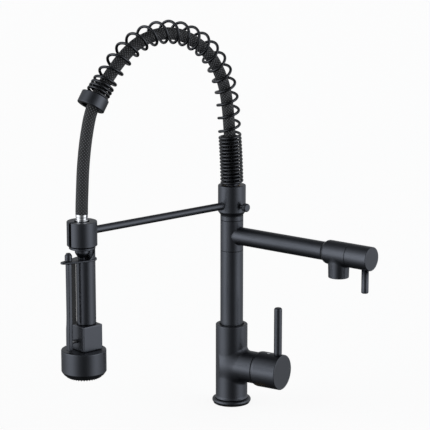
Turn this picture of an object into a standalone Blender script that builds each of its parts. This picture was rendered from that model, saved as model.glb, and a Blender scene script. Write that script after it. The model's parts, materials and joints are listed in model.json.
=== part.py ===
"""Pull-down kitchen faucet with a spring spout and a side pot filler.

Metres, +Z up. The origin is where the column's axis meets the worktop. The spout hangs over -Y,
the mixer handle and the pot filler stand out towards +X.
"""

import math

import bmesh
import bpy
from mathutils import Vector

# Clearances
GAP = 0.0003            # between pieces that touch
RUN = 0.0003            # on the radius, between a turning piece and what it turns on
PIN_CLEARANCE = 0.0003  # on the radius, between a screw or a pin and its hole

# Worktop and what clamps the faucet to it
DECK_THICKNESS = 0.030
GASKET_THICKNESS = 0.0008
SHANK_RADIUS = 0.016
SHANK_BORE_RADIUS = 0.0125
SHANK_BELOW_CLAMP = 0.025
SHANK_IN_BODY = 0.013
WASHER_RADIUS = 0.0245
RUBBER_THICKNESS = 0.003
STEEL_THICKNESS = 0.0015
NUT_ACROSS_CORNERS = 0.046
NUT_HEIGHT = 0.009

# Base and mixer body
BASE_RADIUS = 0.0239
BASE_HEIGHT = 0.0055
BODY_RADIUS = 0.0196
BODY_TOP = 0.1008
BODY_FLARE = 0.0009
EDGE = 0.0008           # the small chamfer on turned rims
COLUMN_RADIUS = 0.014
COLUMN_WALL = 0.0015
COLUMN_IN_BODY = 0.0215
COLUMN_TOP = 0.1941
HANDLE_HEIGHT = 0.0494
HANDLE_ANGLE = math.radians(17.2)
BRANCH_RADIUS = 0.0195
BRANCH_LENGTH = 0.0378
INLET_RADIUS = 0.0042
INLET_SPACING = 0.014
OUTLET_RADIUS = 0.006

# Mixer cartridge, along the handle's axis from the column's axis
CARTRIDGE_RADIUS = 0.0173
CARTRIDGE_SEAT = 0.002
CARTRIDGE_SHOULDER = 0.026
CARTRIDGE_NECK_RADIUS = 0.0118
RETAINER_BORE_RADIUS = 0.0122
RETAINER_LENGTH = 0.0085
PIVOT_OUT = 0.0305
CARRIER_RADIUS = 0.0095
CARRIER_THICKNESS = 0.003
STEM_SIDE = 0.008
HANDLE_LIFT = math.radians(22.0)  # how far the lever tilts from closed to open
STEM_END = 0.0575

# Mixer handle
CAP_RADIUS = 0.0217
CAP_WALL = 0.0015
CAP_START = 0.0393
CAP_END = 0.0726
CAP_END_THICKNESS = 0.0135
CAP_BOSS_RADIUS = 0.0095
CAP_BOSS_START = 0.0435
LEVER_OUT = 0.066
LEVER_RADIUS = 0.0049
LEVER_LENGTH = 0.0591
LEVER_SPIGOT_RADIUS = 0.0027
LEVER_SPIGOT_LENGTH = 0.010
SCREW_RADIUS = 0.0025
SCREW_OUT = 0.0543
INDICATOR_RADIUS = 0.0029
INDICATOR_THICKNESS = 0.0026

# Pot filler
FILLER_IN_SLEEVE = 0.0187  # from the sleeve's lower end up to the arm's axis
FILLER_ANGLE = math.radians(11.1)
SLEEVE_LENGTH = 0.0375
CORE_RADIUS = 0.010
CORE_BORE_RADIUS = 0.006
CORE_IN_COLUMN = 0.024
ARM_RADIUS = 0.011
ARM_WALL = 0.0015
ARM_END = 0.1387
PORT_RADIUS = 0.0045
RING_SECTION_RADIUS = 0.00085
RING_GROOVE_DEPTH = 0.0016
SEAL_SPACING = 0.0245
HEAD_RADIUS = 0.01425
HEAD_SHOULDER = 0.0055
HEAD_END = 0.1743
HEAD_SPIGOT_LENGTH = 0.009
FILLER_CARTRIDGE_RADIUS = 0.0090
FILLER_CARTRIDGE_LENGTH = 0.0245
FILLER_CHAMBER_START = 0.1480
FILLER_STEM_RADIUS = 0.0031
NOZZLE_OUT = 0.1582
NOZZLE_TOP_RADIUS = 0.0129
NOZZLE_END_RADIUS = 0.0122
NOZZLE_DROP = 0.0285
AERATOR_RADIUS = 0.0103
AERATOR_LENGTH = 0.0095
FILLER_CAP_END = 0.2043
FILLER_CAP_SOLID = 0.016
FILLER_PIN_OUT = 0.1955
FILLER_PIN_RADIUS = 0.0043
FILLER_PIN_DROP = 0.0420

# Docking collar, rod and ring
SPACER_HEIGHT = 0.0055
COLLAR_RADIUS = 0.0169
COLLAR_HEIGHT = 0.0373
COLLAR_TAPER = 0.0050
ROD_UP_COLLAR = 0.0128  # from the collar's lower end up to the rod's axis
ROD_RADIUS = 0.0045
ROD_IN_COLLAR = 0.0042
ROD_IN_RING = 0.0035
REACH = 0.2277
DOCK_RADIUS = 0.0175
DOCK_CLEARANCE = 0.00055 # on the radius, round the swivel nut
DOCK_HEIGHT = 0.0285
DOCK_SLOT_WIDTH = 0.0040
DOCK_DROP = 0.0156      # from the rod's axis down to the ring's underside
KNOB_RADIUS = 0.0052
KNOB_LENGTH = 0.006
KNOB_STAND_OFF = 0.0056

# Spring and hose
WIRE_RADIUS = 0.0017
COIL_CLEARANCE = 0.0035  # on the radius, between the hose and the spring
CLOSE_PITCH = 0.0043
OPEN_PITCH = 0.0166
CLOSE_LENGTH = 0.0565
END_CLOSE_LENGTH = 0.011
PITCH_CHANGE = 0.010
END_PITCH_CHANGE = 0.020
COIL_PHASE = math.radians(290.0)
POINTS_PER_TURN = 10
SEAT_HEIGHT = 0.014
SEAT_WALL = 0.0014
HOSE_RADIUS = 0.0072
FITTING_LIP = 0.0004     # the fitting's rim stands this far outside the hose
FITTING_HEIGHT = 0.0135
HOSE_STEP = 0.0145

# The arch's points, as (share of the reach, height over the docking collar's top)
SPRING_ROUTE = [
    (0.0000, 0.0023), (0.0040, 0.0254), (0.0100, 0.0470), (0.0180, 0.0701), (0.0280, 0.0965),
    (0.0554, 0.1268), (0.1240, 0.1559), (0.2182, 0.1764), (0.3460, 0.1903), (0.4700, 0.1946),
    (0.5758, 0.1910), (0.6476, 0.1850), (0.7153, 0.1752), (0.7789, 0.1620), (0.8370, 0.1469),
    (0.8960, 0.1306),
]
HOSE_ROUTE = [
    (0.0000, 0.0142), (0.0040, 0.0254), (0.0100, 0.0470), (0.0195, 0.0701), (0.0312, 0.0960),
    (0.0610, 0.1255), (0.1290, 0.1539), (0.2225, 0.1741), (0.3470, 0.1884), (0.4700, 0.1928),
    (0.5740, 0.1893), (0.6430, 0.1835), (0.7090, 0.1739), (0.7720, 0.1610), (0.8330, 0.1463),
    (0.8960, 0.1292), (0.9375, 0.1095), (0.9510, 0.0985), (0.9620, 0.0875), (0.9725, 0.0750),
    (0.9825, 0.0586), (0.9895, 0.0430), (0.9935, 0.0280), (0.9970, 0.0150), (0.9995, 0.0040),
    (1.0000, -0.0037),
]

# The collar at the spring's lower end
END_NUT_WALL = 0.0024     # outside the spring
END_NUT_BORE_CLEARANCE = 0.0036  # on the radius round the hose
END_NUT_LENGTH = 0.0145
END_NUT_RECESS = 0.0052
END_NUT_AHEAD = 0.0084     # from the spring's end to the nut's middle
END_NUT_SAG = math.radians(6.5)  # the nut hangs this much steeper than the spring's end

# Spray head, about its own upright axis at REACH
FERRULE_RADIUS = 0.0070
FERRULE_BORE_RADIUS = 0.0050
FERRULE_LENGTH = 0.0190
SWIVEL_RADIUS = 0.0082
SWIVEL_BORE_RADIUS = 0.0035
NECK_FLANGE_RADIUS = 0.0152
NECK_FLANGE_THICKNESS = 0.0026
NECK_DROP = 0.0012        # from the docking ring's underside to the neck's flange
NECK_BALL_RADIUS = 0.0086
NECK_BALL_DEPTH = 0.0100
NECK_STEM_RADIUS = 0.0046
NECK_LENGTH = 0.0145      # from the flange's top to the yoke's top
YOKE_THICKNESS = 0.0022
YOKE_ROUND_RADIUS = 0.0130
YOKE_TIP_OUT = 0.0262
YOKE_TIP_RADIUS = 0.0040
GRIP_OFFSET = 0.0045    # the grip's axis stands this far back towards the column
GRIP_RADIUS = 0.0113
GRIP_WALL = 0.0018
FLOW_TUBE_RADIUS = 0.0034
FLOW_TUBE_WALL = 0.0010
FLOW_OFFSET = 0.0005
BLOCK_DEPTH = 0.0273
BLOCK_WIDTH = 0.0300
BLOCK_OFFSET = 0.00275
GRIP_LENGTH = 0.0745
BLOCK_HEIGHT = 0.0299
BLOCK_EDGE = 0.0014
BELL_RADIUS = 0.0262
BELL_HEIGHT = 0.0296
BELL_WALL = 0.0031
BELL_CHAMFER = 0.0026
FACE_RADIUS = 0.0226
FACE_THICKNESS = 0.0036
FACE_DROP = 0.0024
MAT_THICKNESS = 0.0024
SPREADER_THICKNESS = 0.0030
TRIGGER_OUT = 0.0198
TRIGGER_THICKNESS = 0.0050
TRIGGER_WIDTH = 0.0066
TRIGGER_RIB_WIDTH = 0.0026
TRIGGER_RIB_DEPTH = 0.0068  # behind the bar, towards the grip
TRIGGER_FOOT_GAP = 0.0015
TRIGGER_HEAD_GAP = 0.0007
TRIGGER_PIN_RADIUS = 0.0023
TRIGGER_THREAD_RADIUS = 0.00135
TRIGGER_HOLE_RADIUS = 0.0031
TRIGGER_KNOB_RADIUS = 0.0043
TRIGGER_KNOB_HEIGHT = 0.0090
PLUNGER_RADIUS = 0.0024
PLUNGER_HOLE_RADIUS = 0.0034
PLUNGER_UP_BLOCK = 0.0112  # from the block's underside up to the plunger's axis
PLUNGER_END = 0.0040
PLUNGER_HOLE_END = -0.0026

# Heights that follow from the sizes above
BASE_BOTTOM = GASKET_THICKNESS + GAP
BODY_BOTTOM = BASE_BOTTOM + BASE_HEIGHT + GAP
SHANK_TOP = BODY_BOTTOM + SHANK_IN_BODY
SHANK_BOTTOM = -DECK_THICKNESS - SHANK_BELOW_CLAMP
COLUMN_BOTTOM = BODY_TOP - COLUMN_IN_BODY
SLEEVE_BOTTOM = COLUMN_TOP + GAP
SLEEVE_TOP = SLEEVE_BOTTOM + SLEEVE_LENGTH
SPACER_BOTTOM = SLEEVE_TOP + GAP
SPACER_TOP = SPACER_BOTTOM + SPACER_HEIGHT
FILLER_HEIGHT = SLEEVE_BOTTOM + FILLER_IN_SLEEVE
COLLAR_BOTTOM = SPACER_TOP + GAP
COLLAR_TOP = COLLAR_BOTTOM + COLLAR_HEIGHT
CORE_TOP = COLLAR_TOP - 2 * GAP
ROD_HEIGHT = COLLAR_BOTTOM + ROD_UP_COLLAR
DOCK_BOTTOM = ROD_HEIGHT - DOCK_DROP
DOCK_TOP = DOCK_BOTTOM + DOCK_HEIGHT
HOSE_END = COLLAR_TOP + HOSE_ROUTE[-1][1]
NECK_FLANGE_TOP = DOCK_BOTTOM - NECK_DROP
YOKE_TOP = NECK_FLANGE_TOP - NECK_LENGTH
NECK_BOTTOM = YOKE_TOP - YOKE_THICKNESS
GRIP_TOP = NECK_BOTTOM - GAP
BLOCK_TOP = GRIP_TOP - GRIP_LENGTH - GAP
BELL_TOP = BLOCK_TOP - BLOCK_HEIGHT - GAP
BELL_BOTTOM = BELL_TOP - BELL_HEIGHT
FACE_BOTTOM = BELL_BOTTOM - FACE_DROP
PLUNGER_HEIGHT = BELL_TOP + GAP + PLUNGER_UP_BLOCK
COIL_RADIUS = HOSE_RADIUS + COIL_CLEARANCE + WIRE_RADIUS
FITTING_RADIUS = HOSE_RADIUS + FITTING_LIP
DOCK_BORE_RADIUS = SWIVEL_RADIUS + DOCK_CLEARANCE
END_NUT_RADIUS = COIL_RADIUS + WIRE_RADIUS + END_NUT_WALL
END_NUT_BORE_RADIUS = HOSE_RADIUS + END_NUT_BORE_CLEARANCE

BLACK = ("black_coat", (0.020, 0.021, 0.024), 0.38, 0.6)
WIRE_BLACK = ("spring_coat", (0.014, 0.014, 0.016), 0.28, 0.6)
CHROME = ("chrome", (0.80, 0.81, 0.83), 0.08, 1.0)
BRASS = ("brass", (0.62, 0.46, 0.20), 0.30, 1.0)
STEEL = ("steel", (0.55, 0.56, 0.58), 0.30, 1.0)
RUBBER = ("rubber", (0.015, 0.015, 0.015), 0.75, 0.0)
BRAID = ("braid", (0.030, 0.030, 0.033), 0.55, 0.0)
WHITE_PLASTIC = ("valve_plastic", (0.72, 0.72, 0.70), 0.45, 0.0)
GREY_SILICONE = ("nozzle_silicone", (0.10, 0.10, 0.11), 0.60, 0.0)
INDICATOR = ("indicator_plastic", (0.55, 0.56, 0.58), 0.35, 0.0)

UPRIGHT = (0.0, 0.0, 0.0)
HERE = (0.0, 0.0, 0.0)
ALONG_X = (0.0, math.pi / 2, 0.0)
ALONG_MINUS_Y = (math.pi / 2, 0.0, 0.0)


def clear_scene():
    for obj in list(bpy.data.objects):
        bpy.data.objects.remove(obj, do_unlink=True)


def new_collection(name):
    collection = bpy.data.collections.new(name)
    bpy.context.scene.collection.children.link(collection)
    return collection


def material(finish):
    name, colour, roughness, metallic = finish
    made = bpy.data.materials.get(name)
    if made:
        return made
    made = bpy.data.materials.new(name)
    made.use_nodes = True
    shader = made.node_tree.nodes["Principled BSDF"]
    shader.inputs["Base Color"].default_value = (*colour, 1.0)
    shader.inputs["Roughness"].default_value = roughness
    shader.inputs["Metallic"].default_value = metallic
    return made


def empty(name, parent=None, location=HERE, angle=0.0):
    """An unseen axis that pieces hang on, turned by angle about Z."""
    axis = bpy.data.objects.new(name, None)
    parts.objects.link(axis)
    axis.parent = parent
    axis.location = location
    axis.rotation_euler = (0.0, 0.0, angle)
    return axis


def place(obj, parent, location, rotation, collection, finish):
    collection.objects.link(obj)
    obj.parent = parent
    obj.location = location
    obj.rotation_euler = rotation
    if finish:
        obj.data.materials.append(material(finish))
    if collection is cutters:
        obj.hide_render = True
        obj.display_type = "WIRE"
    return obj


def turned(name, profile, finish=None, parent=None, location=HERE, rotation=UPRIGHT,
           steps=22, closed=False, collection=None):
    """A turned piece. The profile is (radius, height) and runs down the outer side."""
    mesh = bpy.data.meshes.new(name)
    points = [(radius, 0.0, height) for radius, height in profile]
    edges = [(i, i + 1) for i in range(len(points) - 1)]
    if closed:
        edges.append((len(points) - 1, 0))
    mesh.from_pydata(points, edges, [])
    obj = bpy.data.objects.new(name, mesh)
    place(obj, parent, location, rotation, collection or parts, finish)
    screw = obj.modifiers.new("turn", "SCREW")
    screw.axis = "Z"
    screw.angle = 2 * math.pi
    screw.steps = screw.render_steps = steps
    screw.use_merge_vertices = True
    screw.merge_threshold = 0.00001
    screw.use_smooth_shade = True
    return obj


def ring(name, outer, inner, low, high, edge=0.0, **options):
    """A plain turned ring, its outer rims chamfered by edge."""
    profile = [(outer - edge, high), (outer, high - edge), (outer, low + edge),
               (outer - edge, low), (inner, low), (inner, high)]
    if edge == 0.0:
        profile = [(outer, high), (outer, low), (inner, low), (inner, high)]
    return turned(name, profile, closed=True, **options)


def bar(name, radius, low, high, edge=0.0, **options):
    """A solid round bar, its rims chamfered by edge."""
    profile = [(0.0, high), (radius - edge, high), (radius, high - edge),
               (radius, low + edge), (radius - edge, low), (0.0, low)]
    if edge == 0.0:
        profile = [(0.0, high), (radius, high), (radius, low), (0.0, low)]
    return turned(name, profile, **options)


def block(name, low, high, finish=None, parent=None, location=HERE, rotation=UPRIGHT,
          edge=0.0, collection=None):
    """A box between two corners, its edges rounded by edge."""
    mesh = bpy.data.meshes.new(name)
    shape = bmesh.new()
    bmesh.ops.create_cube(shape, size=1.0)
    low, high = Vector(low), Vector(high)
    bmesh.ops.scale(shape, vec=high - low, verts=shape.verts)
    bmesh.ops.translate(shape, vec=(low + high) / 2, verts=shape.verts)
    shape.to_mesh(mesh)
    shape.free()
    obj = bpy.data.objects.new(name, mesh)
    place(obj, parent, location, rotation, collection or parts, finish)
    if edge:
        bevel = obj.modifiers.new("edges", "BEVEL")
        bevel.width = edge
        bevel.segments = 2
    return obj


def boolean(obj, other, operation="DIFFERENCE"):
    cut = obj.modifiers.new(operation.lower(), "BOOLEAN")
    cut.operation = operation
    cut.object = other
    return obj


def drill(obj, name, radius, low, high, parent, location, rotation, steps=16):
    """A round hole from low to high along the cutter's own axis."""
    tool = bar(name, radius, low, high, parent=parent, location=location, rotation=rotation,
               steps=steps, collection=cutters)
    return boolean(obj, tool)


def base_and_clamp():
    """The pieces that hold the faucet on the worktop."""
    ring("base_gasket", BASE_RADIUS - 0.0015, SHANK_RADIUS + RUN, 0.0, GASKET_THICKNESS,
         finish=RUBBER)
    middle = BASE_BOTTOM + BASE_HEIGHT / 2
    half = BASE_HEIGHT / 2
    rim = [(BASE_RADIUS - half + half * math.cos(a), middle + half * math.sin(a))
           for a in (math.pi / 2 - i * math.pi / 6 for i in range(7))]
    inner = SHANK_RADIUS + RUN
    turned("base_flange", rim + [(inner, BASE_BOTTOM), (inner, BASE_BOTTOM + BASE_HEIGHT)],
           closed=True, finish=BLACK, steps=26)
    ring("threaded_shank", SHANK_RADIUS, SHANK_BORE_RADIUS, SHANK_BOTTOM, SHANK_TOP,
         edge=EDGE, finish=BRASS)
    top = -DECK_THICKNESS
    ring("deck_rubber_washer", WASHER_RADIUS, inner, top - RUBBER_THICKNESS, top, finish=RUBBER)
    top -= RUBBER_THICKNESS + GAP
    ring("deck_steel_washer", WASHER_RADIUS, inner, top - STEEL_THICKNESS, top, finish=STEEL)
    top -= STEEL_THICKNESS + GAP
    nut = bar("mounting_nut", NUT_ACROSS_CORNERS / 2, top - NUT_HEIGHT, top, finish=BRASS,
              steps=6)
    drill(nut, "nut_bore", inner, top - NUT_HEIGHT - EDGE, top + EDGE, None, HERE, UPRIGHT,
          steps=22)


def valve_body(axis):
    """The cast tee: a socket for the column, a side branch for the cartridge, two inlets."""
    socket = COLUMN_RADIUS + GAP
    socket_floor = COLUMN_BOTTOM - GAP
    recess = SHANK_RADIUS + GAP
    recess_top = SHANK_TOP + GAP
    body = turned("valve_body", [
        (0.0, socket_floor), (socket, socket_floor), (socket, BODY_TOP),
        (BODY_RADIUS - EDGE, BODY_TOP), (BODY_RADIUS, BODY_TOP - EDGE),
        (BODY_RADIUS, BODY_BOTTOM + 3 * BODY_FLARE), (BODY_RADIUS + BODY_FLARE, BODY_BOTTOM),
        (recess, BODY_BOTTOM), (recess, recess_top), (0.0, recess_top)], finish=BLACK, steps=26)
    branch = bar("branch", BRANCH_RADIUS, 0.0, BRANCH_LENGTH, edge=EDGE, parent=axis,
                 rotation=ALONG_X, steps=26, collection=cutters)
    boolean(body, branch, "UNION")
    drill(body, "chamber", CARTRIDGE_RADIUS + GAP, CARTRIDGE_SEAT, BRANCH_LENGTH + EDGE, axis,
          HERE, ALONG_X, steps=22)
    for side in (-1, 1):
        spot = (CARTRIDGE_SEAT + INLET_RADIUS + GAP, side * INLET_SPACING / 2, -HANDLE_HEIGHT)
        depth = HANDLE_HEIGHT - CARTRIDGE_RADIUS / 2
        drill(body, f"inlet_{side}", INLET_RADIUS, SHANK_TOP, depth, axis, spot, UPRIGHT, steps=12)
    spot = (CARTRIDGE_SEAT + OUTLET_RADIUS, 0.0, 0.0)
    drill(body, "outlet", OUTLET_RADIUS, CARTRIDGE_RADIUS / 2, COLUMN_BOTTOM - HANDLE_HEIGHT,
          axis, spot, UPRIGHT, steps=12)


def cartridge(axis, turret):
    """Inside the branch: the cartridge, the brass ring that holds it and its turning carrier."""
    seat = CARTRIDGE_SEAT + GAP
    carrier_start = PIVOT_OUT - CARRIER_THICKNESS / 2
    turned("mixer_cartridge", [
        (0.0, carrier_start - GAP), (CARRIER_RADIUS + RUN, carrier_start - GAP),
        (CARRIER_RADIUS + RUN, PIVOT_OUT + CARRIER_THICKNESS),
        (CARTRIDGE_NECK_RADIUS, PIVOT_OUT + CARRIER_THICKNESS),
        (CARTRIDGE_NECK_RADIUS, CARTRIDGE_SHOULDER), (CARTRIDGE_RADIUS, CARTRIDGE_SHOULDER),
        (CARTRIDGE_RADIUS, seat), (0.0, seat)],
        finish=WHITE_PLASTIC, parent=axis, rotation=ALONG_X)
    start = CARTRIDGE_SHOULDER + GAP
    ring("cartridge_retainer", CARTRIDGE_RADIUS, RETAINER_BORE_RADIUS, start,
         start + RETAINER_LENGTH, finish=BRASS, parent=axis, rotation=ALONG_X)
    bar("cartridge_carrier", CARRIER_RADIUS, carrier_start, carrier_start + CARRIER_THICKNESS,
        finish=WHITE_PLASTIC, parent=turret, rotation=ALONG_X, steps=20)


def mixer_handle(tilt):
    """The cap over the cartridge with its lever, the stem it grips, its screw and indicator."""
    inner = CAP_RADIUS - CAP_WALL
    floor = CAP_END - CAP_END_THICKNESS
    cap = turned("handle_cap", [
        (0.0, CAP_END), (CAP_RADIUS - EDGE, CAP_END), (CAP_RADIUS, CAP_END - EDGE),
        (CAP_RADIUS, CAP_START + 4 * EDGE), (CAP_RADIUS - EDGE, CAP_START), (inner, CAP_START),
        (inner, floor), (CAP_BOSS_RADIUS, floor), (CAP_BOSS_RADIUS, CAP_BOSS_START),
        (0.0, CAP_BOSS_START)], finish=BLACK, parent=tilt, location=(-PIVOT_OUT, 0.0, 0.0),
        rotation=ALONG_X, steps=26)
    half = STEM_SIDE / 2
    socket = block("stem_socket", (CAP_BOSS_START - EDGE, -half - GAP, -half - GAP),
                   (STEM_END + GAP, half + GAP, half + GAP), parent=tilt,
                   location=(-PIVOT_OUT, 0.0, 0.0), collection=cutters)
    boolean(cap, socket)
    lever_floor = CAP_RADIUS - LEVER_SPIGOT_LENGTH
    spot = (LEVER_OUT - PIVOT_OUT, 0.0, 0.0)
    drill(cap, "lever_hole", LEVER_SPIGOT_RADIUS + PIN_CLEARANCE, lever_floor,
          CAP_RADIUS + EDGE, tilt, spot, UPRIGHT, steps=12)
    screw_spot = (SCREW_OUT - PIVOT_OUT, 0.0, 0.0)
    hole = INDICATOR_RADIUS + PIN_CLEARANCE
    drill(cap, "screw_hole", hole, half, CAP_RADIUS + EDGE, tilt, screw_spot, UPRIGHT, steps=12)
    swing_room = (CARRIER_THICKNESS / 2 + GAP + half * math.sin(HANDLE_LIFT)) / math.cos(HANDLE_LIFT)
    start = PIVOT_OUT + swing_room
    block("cartridge_stem", (start, -half, -half), (STEM_END, half, half), finish=STEEL,
          parent=tilt, location=(-PIVOT_OUT, 0.0, 0.0))
    bar("handle_set_screw", SCREW_RADIUS, half + GAP, CAP_BOSS_RADIUS, finish=STEEL,
        parent=tilt, location=screw_spot, steps=12)
    outer = CAP_RADIUS + GAP
    bar("handle_indicator", INDICATOR_RADIUS, outer - INDICATOR_THICKNESS, outer,
        finish=INDICATOR, parent=tilt, location=screw_spot, steps=12)
    bottom = CAP_RADIUS + GAP
    top = CAP_RADIUS + LEVER_LENGTH
    round_off = LEVER_RADIUS / 3
    turned("handle_lever", [
        (0.0, top), (LEVER_RADIUS - round_off, top), (LEVER_RADIUS, top - round_off),
        (LEVER_RADIUS, bottom + EDGE), (LEVER_RADIUS - EDGE / 2, bottom),
        (LEVER_SPIGOT_RADIUS, bottom), (LEVER_SPIGOT_RADIUS, lever_floor + GAP),
        (0.0, lever_floor + GAP)], finish=BLACK, parent=tilt, location=spot, steps=16)


def column():
    """The upright tube, the core that the turning collars run on, their seals and spacer."""
    ring("column_tube", COLUMN_RADIUS, COLUMN_RADIUS - COLUMN_WALL, COLUMN_BOTTOM, COLUMN_TOP,
         finish=BLACK, steps=26)
    plug = COLUMN_RADIUS - COLUMN_WALL - GAP
    groove = CORE_RADIUS - RING_GROOVE_DEPTH
    half_groove = RING_SECTION_RADIUS + GAP
    half_gallery = PORT_RADIUS + 2 * GAP
    seal_heights = [FILLER_HEIGHT + SEAL_SPACING / 2, FILLER_HEIGHT - SEAL_SPACING / 2]
    collar_seal = COLLAR_TOP - COLLAR_HEIGHT / 4
    profile = [(CORE_RADIUS, CORE_TOP)]
    grooves = [(collar_seal, half_groove), (seal_heights[0], half_groove),
               (FILLER_HEIGHT, half_gallery), (seal_heights[1], half_groove)]
    for height, half in grooves:
        profile += [(CORE_RADIUS, height + half), (groove, height + half),
                    (groove, height - half), (CORE_RADIUS, height - half)]
    profile += [(CORE_RADIUS, COLUMN_TOP - GAP), (plug, COLUMN_TOP - GAP),
                (plug, COLUMN_TOP - CORE_IN_COLUMN), (CORE_BORE_RADIUS, COLUMN_TOP - CORE_IN_COLUMN),
                (CORE_BORE_RADIUS, CORE_TOP)]
    core = turned("column_core", profile, closed=True, finish=BRASS, steps=20)
    drill(core, "core_port", PORT_RADIUS, -CORE_RADIUS, CORE_RADIUS, None,
          (0.0, 0.0, FILLER_HEIGHT), (0.0, math.pi / 2, FILLER_ANGLE), steps=12)
    names = ("collar_o_ring", "sleeve_o_ring_upper", "sleeve_o_ring_lower")
    centre = CORE_RADIUS - RING_SECTION_RADIUS + RUN / 3
    for name, height in zip(names, [collar_seal] + seal_heights):
        section = [(centre + RING_SECTION_RADIUS * math.cos(a),
                    height + RING_SECTION_RADIUS * math.sin(a))
                   for a in (math.pi / 2 - i * math.pi / 3 for i in range(6))]
        turned(name, section, closed=True, finish=RUBBER, steps=20)
    ring("spacer_ring", COLUMN_RADIUS, CORE_RADIUS + RUN, SPACER_BOTTOM, SPACER_TOP,
         finish=BLACK, steps=26)


def pot_filler(swing):
    """The sleeve that turns on the column, its arm, and the head with the valve and nozzle."""
    sleeve = ring("filler_sleeve", COLUMN_RADIUS, CORE_RADIUS + RUN,
                  SLEEVE_BOTTOM - FILLER_HEIGHT, SLEEVE_TOP - FILLER_HEIGHT, finish=BLACK,
                  parent=swing, steps=26)
    drill(sleeve, "sleeve_port", PORT_RADIUS, CORE_RADIUS, COLUMN_RADIUS + EDGE, swing, HERE,
          ALONG_X, steps=12)
    arm = ring("filler_arm", ARM_RADIUS, ARM_RADIUS - ARM_WALL, CORE_RADIUS, ARM_END,
               finish=BLACK, parent=swing, rotation=ALONG_X)
    boolean(arm, bar("arm_saddle", COLUMN_RADIUS + GAP, -2 * ARM_RADIUS, 2 * ARM_RADIUS,
                     parent=swing, steps=26, collection=cutters))
    start = ARM_END + GAP
    spigot = ARM_RADIUS - ARM_WALL - GAP
    bore = spigot - ARM_WALL
    chamber = FILLER_CARTRIDGE_RADIUS + GAP
    shoulder = [(ARM_RADIUS + (HEAD_RADIUS - ARM_RADIUS) * math.sin(a),
                 start + HEAD_SHOULDER * (1 - math.cos(a)))
                for a in (math.radians(angle) for angle in (90, 60, 30, 0))]
    head = turned("filler_head", [(HEAD_RADIUS, HEAD_END)] + shoulder + [
        (spigot, start), (spigot, start - HEAD_SPIGOT_LENGTH),
        (bore, start - HEAD_SPIGOT_LENGTH), (bore, FILLER_CHAMBER_START),
        (chamber, FILLER_CHAMBER_START), (chamber, HEAD_END)],
        closed=True, finish=BLACK, parent=swing, rotation=ALONG_X, steps=26)
    spot = (NOZZLE_OUT, 0.0, 0.0)
    nozzle = turned("nozzle", [
        (0.0, -chamber - 2 * GAP), (NOZZLE_TOP_RADIUS, -chamber - 2 * GAP),
        (NOZZLE_END_RADIUS, -NOZZLE_DROP), (0.0, -NOZZLE_DROP)],
        parent=swing, location=spot, steps=28, collection=cutters)
    boolean(head, nozzle, "UNION")
    pocket_top = -NOZZLE_DROP + AERATOR_LENGTH + GAP
    drill(head, "aerator_pocket", AERATOR_RADIUS + GAP, -NOZZLE_DROP - EDGE, pocket_top, swing,
          spot, UPRIGHT, steps=20)
    drill(head, "nozzle_way", PORT_RADIUS, pocket_top - EDGE, -chamber / 2, swing, spot, UPRIGHT,
          steps=12)
    lip = AERATOR_RADIUS - 2 * EDGE
    turned("filler_aerator", [
        (0.0, pocket_top - GAP), (AERATOR_RADIUS, pocket_top - GAP),
        (AERATOR_RADIUS, -NOZZLE_DROP + GAP), (lip, -NOZZLE_DROP + GAP),
        (lip, -NOZZLE_DROP + 3 * EDGE), (0.0, -NOZZLE_DROP + 3 * EDGE)],
        finish=STEEL, parent=swing, location=spot, steps=20)
    start = FILLER_CHAMBER_START + GAP
    end = start + FILLER_CARTRIDGE_LENGTH
    stem_hole = FILLER_STEM_RADIUS + RUN
    middle = (start + end) / 2
    turned("filler_cartridge", [
        (0.0, middle), (stem_hole, middle), (stem_hole, end), (FILLER_CARTRIDGE_RADIUS, end),
        (FILLER_CARTRIDGE_RADIUS, start), (0.0, start)],
        finish=WHITE_PLASTIC, parent=swing, rotation=ALONG_X, steps=20)
    return middle


def filler_handle(turn, stem_start):
    """The cap at the arm's end that opens the pot filler, with its stem and pin."""
    start = HEAD_END + GAP
    floor = FILLER_CAP_END - FILLER_CAP_SOLID
    socket = FILLER_STEM_RADIUS + PIN_CLEARANCE
    boss = socket + 3 * EDGE
    boss_start = start + 3 * EDGE
    cap = turned("filler_cap", [
        (0.0, FILLER_CAP_END), (HEAD_RADIUS - EDGE, FILLER_CAP_END),
        (HEAD_RADIUS, FILLER_CAP_END - EDGE), (HEAD_RADIUS, start),
        (HEAD_RADIUS - CAP_WALL, start), (HEAD_RADIUS - CAP_WALL, floor), (boss, floor),
        (boss, boss_start), (socket, boss_start), (socket, floor + EDGE), (0.0, floor + EDGE)],
        finish=BLACK, parent=turn, rotation=ALONG_X, steps=26)
    hole = LEVER_SPIGOT_RADIUS + PIN_CLEARANCE
    spot = (FILLER_PIN_OUT, 0.0, 0.0)
    hole_top = LEVER_SPIGOT_LENGTH - HEAD_RADIUS
    drill(cap, "pin_hole", hole, -HEAD_RADIUS - EDGE, hole_top, turn, spot, UPRIGHT, steps=12)
    bar("filler_stem", FILLER_STEM_RADIUS, stem_start + GAP, floor + EDGE - GAP, finish=STEEL,
        parent=turn, rotation=ALONG_X, steps=12)
    top = -HEAD_RADIUS - GAP
    round_off = FILLER_PIN_RADIUS / 3
    turned("filler_pin", [
        (0.0, hole_top - GAP), (LEVER_SPIGOT_RADIUS, hole_top - GAP),
        (LEVER_SPIGOT_RADIUS, top), (FILLER_PIN_RADIUS, top),
        (FILLER_PIN_RADIUS, -FILLER_PIN_DROP + round_off),
        (FILLER_PIN_RADIUS - round_off, -FILLER_PIN_DROP), (0.0, -FILLER_PIN_DROP)],
        finish=BLACK, parent=turn, location=spot, steps=16)


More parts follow.
